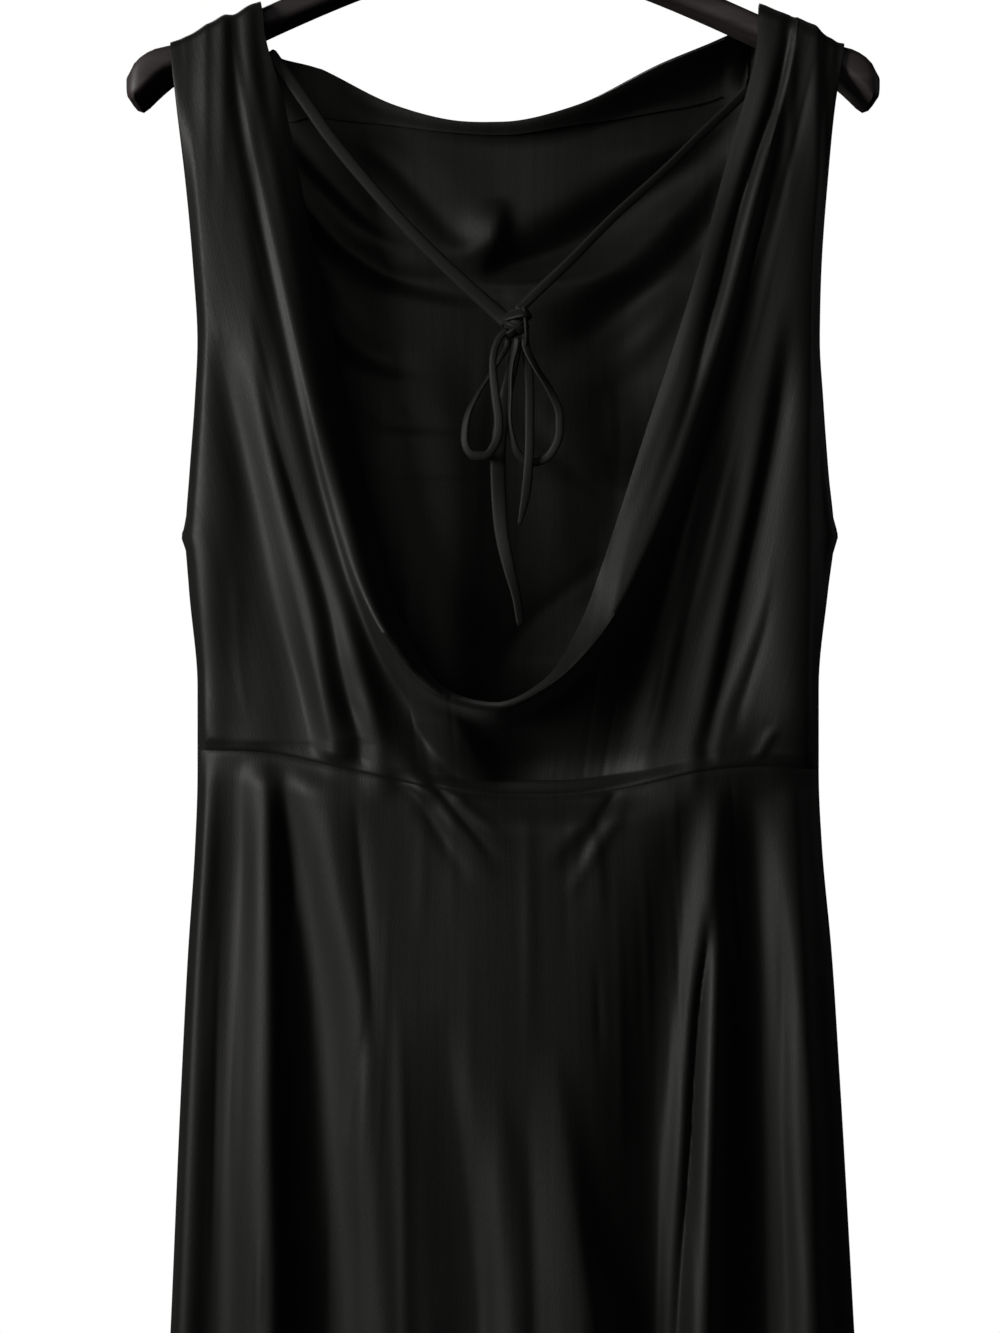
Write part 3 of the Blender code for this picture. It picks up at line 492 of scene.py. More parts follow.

# %% [markdown]
# ## How a fold is written down
# Hanging jersey makes long soft folds with crests, grooves between them, and fine streaks on both.
# A cloth simulation could find such folds, but never these ones. So each fold is placed one by
# one: a line of a few places, each with how far the fold stands out there (a groove sinks, below
# zero) and how far it reaches on its left and right. A short reach beside a long one makes the
# steep and the gentle side that a real fold has, and a low sharpness pinches its crest.

# %% Define the folds
TILT_STEP = 2


def fold_sum(folds, x, drop):
    """The sum of many folds at x and drop. Distances are taken square to each fold's line."""
    total = np.zeros(np.broadcast(x, drop).shape)
    for sharpness, rows in folds:
        # Each row of a fold is x, drop, depth, reach on the left, reach on the right.
        line_x, keys, depths, lefts, rights = np.array(rows, float).T
        line = smooth_curve(keys, line_x, drop)
        above, below = (smooth_curve(keys, line_x, drop + s) for s in (-TILT_STEP, TILT_STEP))
        tilt = (below - above) / (2 * TILT_STEP)
        distance = (x - line) / np.hypot(1, tilt)
        left, right = smooth_curve(keys, lefts, drop), smooth_curve(keys, rights, drop)
        total += smooth_curve(keys, depths, drop) * bump(distance, left, right, sharpness)
    return total


print("height of a soft fold one reach from its crest:", round(float(bump(1.0, 1, 1)), 2))

# %% Define the streaks and the slow swell
STREAK_DRIFT = 0.02
STREAK_SKEW = (0.6, 1.6)
WAVE_COUNT = 7
WAVE_DROP_SHARE = 0.4


def streaks(sideways, drop, seed, count, places, drops, sizes, widths, lengths):
    """Thin ridges that follow the cloth's run, uneven in place, length, width and height."""
    random = np.random.default_rng(seed)
    total = np.zeros(np.broadcast(sideways, drop).shape)
    for _ in range(count):
        place, middle = random.uniform(*places), random.uniform(*drops)
        half, width = random.uniform(*lengths) / 2, random.uniform(*widths)
        size = random.uniform(*sizes) * random.choice((-1, 1))
        drift = random.uniform(-STREAK_DRIFT, STREAK_DRIFT)
        window = ease(1 - np.abs(drop - middle) / half)
        off = sideways - place - drift * (drop - middle)
        total += size * window * bump(off, width, width * random.uniform(*STREAK_SKEW))
    return total


def waves(x, drop, seed, size, lengths):
    """A slow uneven swell of the cloth, from a few long crossing waves."""
    random = np.random.default_rng(seed)
    total = np.zeros(np.broadcast(x, drop).shape)
    for _ in range(WAVE_COUNT):
        turn, length = random.uniform(-0.5, 0.5), random.uniform(*lengths)
        along = (x * math.cos(turn) + drop * math.sin(turn) * WAVE_DROP_SHARE) / length
        total += np.sin(2 * math.pi * (along + random.uniform(0, 1)))
    return total * size / WAVE_COUNT


def side_ease(x, drop, reach):
    """0 at the side edges and 1 further in, so that folds die out at the sides."""
    inside = np.minimum(x - outline("left", drop), outline("right", drop) - x)
    return ease(inside / reach)


def seam_ease(x, drop, seam, reach):
    """0 on the waist seam and 1 away from it."""
    return ease(np.abs(drop - waist_drop(seam, x)) / reach)


print("waves in the slow swell:", WAVE_COUNT)

# %% [markdown]
# ## Cloth over the hanger
# Above the edge of the arm the cloth turns over it, towards the shoulder seam on top. The same
# drop then counts along the cloth, round a small quarter turn and back over the wood. The pleats
# of the shoulder ride on that turn, so they show as small steps along the top of each strap.

# %% Turn cloth over the arm
SHOULDER_FLAT = STRAP_DEPTH - CLOTH_TURN_RADIUS
SHOULDER_TURN = CLOTH_TURN_RADIUS * math.pi / 2
SHOULDER_ROWS = np.concatenate([
    np.linspace(0, SHOULDER_FLAT, 6), SHOULDER_FLAT + SHOULDER_TURN * np.linspace(0, 1, 9)[1:-1]
])
PLEAT_END_DROP = 270.0
PLEAT_FADE = 100.0
PLEAT_SHARPNESS = 1.6
# where each pleat is, its height, its reach on each side
SHOULDER_PLEATS = (
    (-184, 0.4, 7, 3), (-172, 1.0, 6, 3), (-162, 1.3, 7, 3.5), (-146, 1.0, 5, 6),
    (-132, 0.9, 5, 5), (152, 0.8, 8, 6), (166, 1.0, 4, 3), (181, 1.5, 6, 3), (190.5, 0.9, 4, 3),
    (197, 0.5, 3, 3),
)


def shoulder_pleats(x, drop):
    """Pleats over the shoulders, the same on back and front."""
    total = np.zeros(np.broadcast(x, drop).shape)
    for place, height, left, right in SHOULDER_PLEATS:
        total += height * bump(x - place, left, right, PLEAT_SHARPNESS)
    return total * ease((PLEAT_END_DROP - drop) / PLEAT_FADE)


def arm_edge(x):
    """The drop at which the cloth starts to turn over the arm."""
    return wood_top(x) - CLOTH_ABOVE_WOOD + CLOTH_TURN_RADIUS


def turned_over(x, drop, depth, folds, side):
    """Points of a panel, turned over the hanger's arm where its drop is above the arm's edge."""
    edge = arm_edge(x)
    past = np.maximum(edge - drop, 0)
    angle = np.minimum(past / CLOTH_TURN_RADIUS, math.pi / 2)
    along_top = np.maximum(past - SHOULDER_TURN, 0)
    y = depth - CLOTH_TURN_RADIUS * (1 - np.cos(angle)) - along_top + folds * np.cos(angle)
    down = np.where(past > 0, edge, drop) - (CLOTH_TURN_RADIUS + folds) * np.sin(angle)
    return np.stack([x + 0 * drop, side * y, -down], axis=-1)


def shoulder_drop(x):
    """The drop, along the cloth, of the shoulder seam on top of the arm."""
    return arm_edge(x) - SHOULDER_TURN - SHOULDER_FLAT + SEAM_GAP / 2


print("cloth on top of the arm:", round(SHOULDER_FLAT + SHOULDER_TURN, 1), "mm")

# %% Thicken a sheet of cloth
NUB_REACH, NUB_SIZE, NUB_CROWDING = 5.0, 2.6, 24
CLOTH_EDGE_ANGLE = 60


def with_nubs(points, drop):
    """The small stiff lump where an armhole's hem meets the side seam."""
    edge = np.abs(side_to_side(points[..., 0], drop)) ** NUB_CROWDING
    out = np.sign(points[..., 0]) * NUB_SIZE * edge
    points[..., 0] += out * np.exp(-(((drop - UNDERARM_DROP) / NUB_REACH) ** 2))
    return points


def cloth_sheet(name, points, flow, side):
    """A sheet of cloth from a grid of points on its inner side, thickened outwards."""
    rows, columns = points.shape[:2]
    index = np.arange(rows * columns).reshape(rows, columns)
    a, b, c, d = index[:-1, :-1], index[:-1, 1:], index[1:, 1:], index[1:, :-1]
    corners = (a, b, c, d) if side > 0 else (a, d, c, b)
    faces = np.stack(corners, axis=-1).reshape(-1, 4)
    piece = new_piece(name, points.reshape(-1, 3), faces, flow.reshape(-1, 2))
    wall = piece.modifiers.new("thickness", "SOLIDIFY")
    wall.thickness = CLOTH * MM
    wall.offset = 1
    deselect()
    bpy.context.view_layer.objects.active = piece
    piece.select_set(True)
    bpy.ops.object.modifier_apply(modifier=wall.name)
    bpy.ops.object.shade_smooth_by_angle(angle=math.radians(CLOTH_EDGE_ANGLE))
    print(name, len(piece.data.polygons), "faces")
    return piece


print("cloth is", CLOTH, "mm thick")

# %% [markdown]
# ## The draped back
# This is the piece that makes the dress. The back is cut far too long in the middle, so it falls
# forward in a deep loop: the cloth runs down from each shoulder, rises to a rounded ridge, and
# turns in behind it. Under the ridge the slack sags into a dark pocket above the seam. The grid
# follows that: its rows run round the loop from shoulder to shoulder, and its columns run from the
# side or the seam up to the ridge and over it, so the ridge is a clean line of the mesh.

# %% Place the folds of the back
LEFT_BACK_FOLDS = (
    # the rim of the side, stiffened by the armhole's hem, and the wide dark slope beside it
    (2.0, ((-190, 185, 0, 8, 14), (-184, 235, 4, 6, 17), (-180, 290, 4, 6, 16),
           (-178, 360, 3, 6, 11), (-180, 417, 3, 6, 12), (-174, 475, 4.5, 7, 14),
           (-173, 532, 5, 6, 14), (-172, 562, 3, 6, 12))),
    (2.0, ((-164, 320, 0, 8, 10), (-156, 360, -6, 11, 12), (-145, 417, -10.5, 15, 14),
           (-134, 475, -12, 27, 16), (-118, 532, -10, 44, 12), (-113, 556, -6.5, 40, 12))),
    (1.6, ((-155, 455, 0, 4, 4), (-155, 480, 0.5, 4, 4), (-152, 520, 0.5, 4, 4),
           (-148, 545, 0, 4, 4))),
    # the broad bright fold, from the strap to the seam
    (1.8, ((-164, 150, 0, 12, 8), (-153, 235, 0.6, 16, 7), (-148, 274, 0.8, 18, 7),
           (-141, 360, 2, 13, 7), (-126, 417, 1.8, 14, 6), (-111.5, 475, 2.2, 14, 6),
           (-103, 532, 2, 7, 5), (-98, 556, 1.6, 7, 5))),
    # the black groove beside it
    (1.8, ((-139, 330, 0, 5, 6), (-135, 360, -1.6, 5, 9), (-120, 417, -6, 6, 18),
           (-101.5, 475, -7, 8.5, 10), (-89.5, 532, -7, 8, 9), (-83, 554, -3.4, 7, 7))),
    # a thin crest
    (1.7, ((-132, 335, 0, 5, 4), (-129, 360, 0.4, 6, 4), (-112, 417, 0, 5, 4),
           (-94, 475, 0.4, 6, 4.5), (-77.5, 532, 2.8, 8, 6), (-71, 558, 1.4, 7, 6))),
    # the deep groove outside the ridge of the drape
    (2.0, ((-157, 126, -1.5, 4, 6), (-153, 186, -2.4, 4.5, 7), (-144, 235, -3.2, 6, 9),
           (-136, 274, -3.6, 6, 9), (-126, 320, -3.4, 6, 9), (-117, 360, -3.6, 6, 8),
           (-102, 417, -7, 7.5, 7), (-83.5, 475, -8, 8, 6), (-72, 505, -9, 10, 8),
           (-57, 532, -12, 15, 9), (-49, 553, -9, 15, 8), (-44, 571, -2.5, 9, 8))),
    # a lit three-cornered fold from the ridge down to the seam, with a black groove beside it
    (2.0, ((-45, 514, 0, 6, 5), (-38, 532, 4, 11, 7), (-26, 550, 6.5, 15, 8),
           (-17, 566, 4.5, 15, 8), (-10, 580, 1.5, 12, 8))),
    (1.8, ((-50, 545, -1, 5, 6), (-42, 557, -2, 5, 6), (-33, 571, -1.5, 5, 6),
           (-27, 580, 0, 5, 5))),
)
RIGHT_BACK_FOLDS = (
    # the long dark slope outside the ridge of the drape
    (2.0, ((168, 150, 0, 4, 8), (163, 186, -2, 5, 10), (151, 240, -3, 6, 14),
           (145, 274, -5, 7, 18), (134, 325, -7, 8, 28), (122, 360, -9, 10, 40),
           (110, 417, -11, 12, 56), (99, 460, -13, 16, 64), (91, 490, -14, 19, 66),
           (79, 532, -13, 19, 66), (74, 560, -4.5, 17, 50), (72, 580, 0, 14, 36))),
    # two faint crests in it
    (1.8, ((122, 395, 0, 5, 4), (113, 417, 0.6, 5, 4.5), (100.5, 475, 1, 6, 5),
           (90, 532, 0.8, 8, 5), (83, 560, 0.6, 7, 5))),
    (1.8, ((131, 395, 0, 5, 4), (127, 417, 0.5, 5, 4.5), (113.6, 475, 0.5, 5, 4.5),
           (107, 500, 0, 5, 4))),
    # a bright crest and the groove on its right
    (1.7, ((160, 300, 0, 9, 7), (157, 325, 1.4, 11, 7), (152, 360, 2.2, 11, 6),
           (142, 417, 2.4, 6, 5), (129.5, 475, 2.4, 7, 5), (117, 532, 1.6, 8, 5),
           (110, 558, 1.2, 8, 5))),
    (1.9, ((167, 310, 0, 5, 6), (161, 360, -3, 6, 9), (150.5, 417, -3.6, 6, 11),
           (137.5, 475, -3.2, 6, 13), (125, 532, -3, 5, 10), (118, 560, -1.5, 5, 8))),
    # a broad light band, and the dark edge of the side beyond it
    (2.0, ((180, 235, 3, 20, 7), (178, 274, 5, 20, 7), (177, 325, 6, 18, 7), (176, 360, 6, 14, 7),
           (175, 417, 6, 19, 7), (176, 475, 9, 26, 7), (176, 532, 12, 28, 6),
           (175, 562, 7, 24, 6))),
    # two fine lines near the seam
    (1.7, ((156, 445, 0, 4, 3), (152, 475, 0.6, 4, 3.5), (141, 508, 0.9, 4, 3.5),
           (130, 536, 1, 4, 3.5), (124, 560, 0.8, 4, 3.5))),
    (1.7, ((156, 462, 0, 3, 4), (152, 490, -0.8, 3.2, 4), (144, 517, -1.2, 3.2, 4),
           (138, 535, -1.2, 3.2, 4), (133, 556, 0, 3, 4))),
    # a small crumple on the seam
    (1.7, ((159, 546, 0, 3, 3), (154, 554, 1.4, 3.5, 3), (149, 563, 1.4, 3.5, 3),
           (146, 569, 0, 3, 3))),
)
print("folds of the back:", len(LEFT_BACK_FOLDS) + len(RIGHT_BACK_FOLDS))

# %% Work out the surface of the back
# the pocket under the drape: its middle, its reach each way, its depth
HOLLOW_PLACE = (30, 574)
HOLLOW_REACH = (54, 31)
HOLLOW_DEPTH, HOLLOW_SHARPNESS = 22, 2.6
LIFT_REACH, LIFT_SHARPNESS = 6.0, 1.4
BACK_SEAM_REACH = 9.0
BACK_SIDE_REACH = 7.0
# where grooves and folds run into the seam: x, depth, reach. Bodice and skirt share these.
BACK_SEAM_RELIEF = (
    (-99, 0.6, 6), (-84, -0.8, 6), (-71, 0.6, 5), (-60, -1.4, 6), (-48, 1, 4), (-38, -1, 4),
    (22, -7, 40), (64, -6, 28), (110, 0.8, 5), (-126, -6, 34), (160, 0.9, 9),
)
SEAM_DIP, SEAM_DIP_REACH = 0.9, 1.3
RELIEF_SIDE_REACH, DIP_SIDE_REACH = 20.0, 10.0
# how the cloth's run leans in towards the drape, and the drop where it leans by nothing
BACK_RUN_LEAN, BACK_RUN_REACH, RUN_LEVEL = 0.25, 50, 300


def seam_relief(x, table):
    """How far the waist seam itself stands out or in."""
    return sum(depth * bump(x - place, reach, reach) for place, depth, reach in table)


def meet_seam(folds, x, drop, seam, table, reach):
    """Folds that die out near the waist seam, into the seam's own relief and its small groove."""
    away = seam_ease(x, drop, seam, reach)
    nearby = np.exp(-(((drop - waist_drop(seam, x)) / SEAM_DIP_REACH) ** 2))
    relief = seam_relief(x, table) * side_ease(x, drop, RELIEF_SIDE_REACH)
    dip = SEAM_DIP * nearby * side_ease(x, drop, DIP_SIDE_REACH)
    return folds * away + relief * (1 - away) - dip


def across_back(x, drop):
    """A place counted across the cloth's own run, which leans in towards the drape."""
    return x + BACK_RUN_LEAN * (drop - RUN_LEVEL) * np.tanh(x / BACK_RUN_REACH)


def back_points(x, drop, from_ridge, lift):
    """The inner side of the back, at a distance from the drape's ridge."""
    folds = fold_sum(LEFT_BACK_FOLDS + RIGHT_BACK_FOLDS, x, drop)
    folds += streaks(
        across_back(x, drop), drop, seed=3, count=46, places=(-165, 165),
        drops=(200, 560), sizes=(0.25, 0.8), widths=(1.6, 4), lengths=(50, 190),
    )
    folds += waves(x, drop, seed=5, size=1.6, lengths=(40, 110))
    folds = folds * side_ease(x, drop, BACK_SIDE_REACH)
    from_hollow = np.hypot(
        (x - HOLLOW_PLACE[0]) / HOLLOW_REACH[0], (drop - HOLLOW_PLACE[1]) / HOLLOW_REACH[1]
    )
    folds = folds - HOLLOW_DEPTH * bump(from_hollow, 1, 1, HOLLOW_SHARPNESS)
    folds = folds + lift * bump(from_ridge, LIFT_REACH, LIFT_REACH, LIFT_SHARPNESS)
    folds = meet_seam(folds, x, drop, "back_drop", BACK_SEAM_RELIEF, BACK_SEAM_REACH)
    folds = folds + shoulder_pleats(x, drop)
    return turned_over(x, drop, smooth_depth(x, drop, "back"), folds, -1)


print("pocket under the drape:", HOLLOW_DEPTH, "mm deep")

# %% Lay out the grid of the back
SIDE_CROWDING = 0.4
WAIST_CELLS = 220
BACK_LEG_CELLS = 62
BACK_ACROSS_CELLS = 96
TURNED_IN_CELLS = 14
ROW_CROWDING = 1.1
RIDGE_SAMPLES = 400


def even_stations(low, high, count):
    """Places across a panel, closer together where it rounds off to its sides."""
    turn = np.linspace(-1, 1, count + 1)
    spread = (1 - SIDE_CROWDING) * turn + SIDE_CROWDING * np.sin(turn * math.pi / 2)
    return (low + high) / 2 + (high - low) / 2 * spread


def drape_line(fraction):
    """A row of the drape's table, read at a fraction of the ridge's length."""
    places = np.array(DRAPE, float)
    length = lengths_along(places[:, :2])
    return smooth_table(length, places, np.asarray(fraction) * length[-1])


def drape_fraction(drop, shoulder):
    """The fraction of the ridge's length at a drop, on the leg from shoulder 0 or 1."""
    fractions = np.linspace(shoulder, 0.5, RIDGE_SAMPLES)
    return float(np.interp(drop, drape_line(fractions)[:, 1], fractions))


def waist_stations(seam, count):
    """Places (x, drop) along the waist seam, from side to side."""
    x = even_stations(WAIST_SEAM[0][0], WAIST_SEAM[-1][0], count)
    drop = waist_drop(seam, x)
    x[0], x[-1] = outline("left", drop[0]), outline("right", drop[-1])
    return x, drop


def leg_rows(shoulder, corner):
    """One leg of the back, from the shoulder seam down: pairs of ridge and outer place."""
    side = ("left", "right")[shoulder]
    turn = SHOULDER_FLAT + SHOULDER_TURN
    top = drape_line(float(shoulder))
    ridge_seam, edge_seam = shoulder_drop(top[0]), shoulder_drop(outline(side, SHOULDER_DROP))
    places = [(ridge_seam + step, edge_seam + step) for step in SHOULDER_ROWS]
    for f in np.linspace(0, 1, BACK_LEG_CELLS + 1)[:-1]:
        ridge_drop = (ridge_seam + turn) * (1 - f) + LEG_END_DROP * f
        places.append((ridge_drop, (edge_seam + turn) * (1 - f) + corner * f))
    rows = []
    for ridge_drop, edge_drop in places:
        ridge = drape_line(drape_fraction(max(ridge_drop, top[1]), shoulder))
        ridge[1] = ridge_drop
        rows.append((ridge, (outline(side, edge_drop), edge_drop)))
    return rows


def back_rows():
    """Rows round the drape from shoulder to shoulder: pairs of ridge and outer place."""
    first, last = drape_fraction(LEG_END_DROP, 0), drape_fraction(LEG_END_DROP, 1)
    waist_x, drops = waist_stations("back_drop", WAIST_CELLS)
    drops = drops - SEAM_GAP / 2
    rows = leg_rows(0, drops[0])
    for f, x, drop in zip(np.linspace(0, 1, WAIST_CELLS + 1), waist_x, drops):
        rows.append((drape_line(first + (last - first) * f), (x, drop)))
    return rows + leg_rows(1, drops[-1])[::-1]


print("rows round the drape:", len(back_rows()))

# %% [markdown]
# The turned-in edge is set out square to the ridge and sinks away behind it. On the right a thin
# line shows just inside the ridge, where the cloth was pressed double, and fine ripples run along
# the whole band.

# %% Turn the band in
SINK_CURVE = 1.25
RIPPLE, RIPPLE_STEP, RIPPLE_FULL_BAND = 0.35, 1.9, 12
# how the ripples wander along the ridge and swell in places: amount, step
RIPPLE_SHIFT, RIPPLE_SWELL = (0.4, 37), (0.4, 61)
PRESSED_REACH = (3.5, 4.5)
PRESSED_START, PRESSED_FADE = 60, 40
# the pressed line down the right band: drop, distance from the ridge, depth
PRESSED_LINE = (
    (124, 3.5, 3), (186, 4.5, 5), (274, 8, 7.5), (325, 8.5, 5), (360, 8, 3), (440, 8, 0.5),
)


def turned_in_places(ridge):
    """The places of the drape's turned-in band, and how far each has sunk."""
    run = unit(np.gradient(ridge[:, :2], axis=0))
    f = np.linspace(0, 1, TURNED_IN_CELLS + 1)[1:]
    band, sink = ridge[:, 2:3], ridge[:, 3:4]
    x = ridge[:, 0:1] + run[:, 1:] * band * f
    drop = ridge[:, 1:2] - run[:, :1] * band * f
    along = lengths_along(ridge[:, :2])[:, None]
    line = np.array(PRESSED_LINE, float)
    place, depth = np.moveaxis(smooth_table(line[:, 0], line[:, 1:], drop), -1, 0)
    pressed = depth * bump(f * band - place, *PRESSED_REACH)
    pressed = pressed * ease((x - PRESSED_START) / PRESSED_FADE)
    shift, shift_step = RIPPLE_SHIFT
    swell, swell_step = RIPPLE_SWELL
    phase = f * band / RIPPLE_STEP + shift * np.sin(along / shift_step)
    ripple = RIPPLE * np.sin(phase) * ease(band / RIPPLE_FULL_BAND)
    ripple = ripple * (1 - swell + swell * np.sin(along / swell_step + f * 3))
    return x, drop, sink * f**SINK_CURVE + pressed + ripple * ease(f * 3)


print("turned-in band: up to", max(row[2] for row in DRAPE), "mm")


# %% Make the back
def make_back():
    """The back with its drape."""
    ridge, outer = (np.array(places) for places in zip(*back_rows()))
    f = np.linspace(0, 1, BACK_ACROSS_CELLS + 1) ** ROW_CROWDING
    edge_x, edge_drop, sink = turned_in_places(ridge)
    ridge_x, ridge_drop = ridge[:, 0:1], ridge[:, 1:2]
    x = np.concatenate([ridge_x * f + outer[:, :1] * (1 - f), edge_x], axis=1)
    drop = np.concatenate([ridge_drop * f + outer[:, 1:] * (1 - f), edge_drop], axis=1)
    for row, step in enumerate((*SHOULDER_ROWS, SHOULDER_FLAT + SHOULDER_TURN)):
        for end in (row, -1 - row):
            drop[end] = shoulder_drop(x[end]) + step
    from_ridge = np.hypot(x - ridge_x, drop - ridge_drop)
    from_ridge[:, BACK_ACROSS_CELLS:] = 0
    points = back_points(x, drop, from_ridge, ridge[:, 4:5])
    points[:, BACK_ACROSS_CELLS + 1 :, 1] += sink
    flow = np.stack([across_back(x, drop), drop], axis=-1)
    return cloth_sheet("back_bodice_jersey", with_nubs(points, drop), flow, -1)


back = make_back()

# %% [markdown]
# ## The high front
# Through the open back its inner side is seen. The high neckline is slack, so the cloth hangs from
# the shoulders in shallow crossing swags, and long soft folds run on down to the waist. The grid
# starts along the neckline and runs straight down.

# %% Place the folds of the front
FRONT_FOLDS = (
    # swags from the right shoulder
    (2.0, ((148, 170, 0, 7, 8), (138, 188, 6, 9, 12), (119, 205, 12, 12, 20),
           (90, 226, 16, 14, 26), (60, 247, 17, 15, 27), (30, 265, 14, 15, 24),
           (6, 276, 8, 14, 18), (-12, 284, 0, 12, 12))),
    (1.8, ((128, 212, 0, 6, 7), (104, 236, -2.5, 9, 8), (78, 263, -3, 10, 9), (50, 286, -2, 10, 9),
           (30, 300, 0, 9, 9))),
    (1.9, ((142, 202, 0, 7, 9), (134, 224, 6, 10, 10), (124, 246, 10, 14, 12),
           (97, 277, 12, 15, 15), (66, 304, 8, 15, 16), (40, 330, 0, 14, 14))),
    (1.9, ((132, 262, 0, 8, 8), (108, 302, 3, 10, 10), (80, 340, 3, 12, 12),
           (48, 368, 0, 12, 12))),
    # swags from the left shoulder
    (1.8, ((-138, 176, 0, 6, 8), (-126, 196, 4, 6, 10), (-104, 222, 5, 6, 11),
           (-80, 246, 3, 6, 10), (-58, 262, 0, 6, 9))),
    (1.8, ((-138, 210, 0, 5, 8), (-117, 238, 5, 5, 11), (-90, 266, 6, 6, 12), (-58, 283, 5, 6, 11),
           (-26, 292, 2.6, 6, 10), (-4, 298, 0, 6, 8))),
    (1.9, ((-128, 262, 0, 8, 9), (-112, 292, 4, 8, 12), (-88, 322, 4, 9, 12),
           (-60, 342, 0, 9, 9))),
    (1.9, ((-110, 330, 0, 10, 10), (-90, 352, 1.4, 9, 12), (-60, 368, 1.4, 9, 12),
           (-30, 376, 0, 8, 10))),
    # the front falls away behind the right band of the drape
    (2.0, ((136, 215, 0, 20, 9), (127, 263, 7, 24, 9), (104, 353, 7, 28, 9), (80, 413, 9, 34, 9),
           (58, 473, 9, 36, 9), (34, 510, 0, 30, 9))),
    # on the left the front hangs nearer to the back
    (2.0, ((-130, 200, 0, 30, 40), (-115, 300, -5, 30, 46), (-98, 417, -6, 32, 50),
           (-84, 500, -5, 34, 50), (-76, 566, -2, 34, 46))),
    # the small lifted place where they cross
    (1.7, ((-2, 232, 0, 12, 4), (-3, 245, -6, 15, 5), (-5, 259, -7.5, 16, 5.5),
           (-11, 271, -5, 14, 5.5), (-20, 283, 0, 12, 6))),
    # a groove along the left string, and the dark hollow at the right end of the neckline
    (1.8, ((-86, 190, 0, 8, 8), (-70, 206, 3.5, 9, 12), (-50, 229, 4.5, 9, 13),
           (-30, 254, 3, 8, 10), (-20, 266, 0, 6, 8))),
    (2.0, ((150, 120, 0, 34, 20), (144, 146, 12, 42, 18), (134, 170, 12, 40, 16),
           (112, 190, 6, 28, 14), (94, 205, 0, 20, 12))),
    # the front falls away on the right of the bow
    (2.0, ((84, 266, 0, 38, 22), (72, 296, 7, 40, 22), (64, 326, 9, 42, 24), (62, 356, 5, 40, 24),
           (62, 384, 1, 34, 22), (62, 404, 0, 30, 20))),
    # short level creases behind the bow
    (1.8, ((6, 400, 0, 8, 8), (-20, 402, 1, 5, 5), (-44, 408, 0, 8, 8))),
    (1.9, ((8, 352, 0, 8, 8), (34, 386, 2, 8, 8), (52, 402, 2, 8, 8), (74, 414, 0, 8, 8))),
    # long folds to the waist
    (2.0, ((-50, 320, 0, 20, 16), (-34, 380, -6, 36, 22), (-30, 450, -8, 38, 24),
           (-32, 520, -6, 34, 20), (-34, 566, -2, 20, 12))),
    (1.8, ((70, 440, 0, 6, 6), (50, 458, 0.8, 5, 5), (30, 474, 1, 5, 5), (10, 494, 1, 5, 5),
           (-4, 520, 0, 5, 5))),
    (2.0, ((144, 280, 0, 9, 11), (126, 400, 6, 10, 13), (114, 480, 6, 10, 12),
           (106, 565, 3, 9, 9))),
    (2.0, ((82, 400, 0, 9, 9), (74, 480, -4, 10, 10), (68, 566, -2, 9, 9))),
)
# how the neckline's edge leans in towards the back: x, amount, reach below the edge
NECK_LEAN = (
    (-149, 0, 16), (-115, 2, 14), (-60, 5, 9), (0, 8, 8), (45, 12, 9), (80, 16, 10), (105, 18, 11),
    (125, 15, 13), (140, 6, 20), (150, 0, 26),
)
FRONT_SEAM_RELIEF = ((-94, 1, 8), (-46, -1, 8), (8, 0.8, 10), (68, -1, 8), (106, 1, 8))
print("folds of the front:", len(FRONT_FOLDS))

# %% Work out the surface of the front
FRONT_SEAM_REACH = 8.0
FRONT_SIDE_REACH = 22.0
FRONT_TOP_REACH = 26.0
TOP_EASE = 18.0
NECK_END = 145
FRONT_RUN_LEAN = 0.0006


def top_edge(x):
    """The drop from which the front's folds grow, a little above its upper edge."""
    return np.where(np.abs(x) < NECK_END, neckline("drop", x), SHOULDER_DROP) - TOP_EASE


def front_points(x, drop):
    """The inner side of the front."""
    inward = x * (1 - FRONT_RUN_LEAN * (drop - RUN_LEVEL))
    folds = fold_sum(FRONT_FOLDS, x, drop)
    folds += streaks(
        inward, drop, seed=11, count=34, places=(-160, 160),
        drops=(260, 560), sizes=(0.2, 0.6), widths=(2, 5), lengths=(60, 180),
    )
    folds += waves(x, drop, seed=7, size=2.2, lengths=(45, 130))
    below_edge = ease((drop - top_edge(x)) / FRONT_TOP_REACH)
    folds = folds * side_ease(x, drop, FRONT_SIDE_REACH) * below_edge
    lean = np.array(NECK_LEAN, float)
    amount, reach = np.moveaxis(smooth_table(lean[:, 0], lean[:, 1:], x), -1, 0)
    below = np.maximum(drop - top_edge(x) - TOP_EASE, 0)
    folds = folds - amount * np.exp(-((below / reach) ** 2))
    folds = meet_seam(folds, x, drop, "front_drop", FRONT_SEAM_RELIEF, FRONT_SEAM_REACH)
    folds = folds + shoulder_pleats(x, drop)
    return turned_over(x, drop, smooth_depth(x, drop, "front"), folds, 1)


print("the neckline leans in by up to", max(row[1] for row in NECK_LEAN), "mm")

# %% Make the front
FRONT_STRAP_CELLS = 22
FRONT_NECK_CELLS = 120
FRONT_DOWN_CELLS = 150
FRONT_CROWDING = 1.15
FRONT_HALF_WIDTH = 185


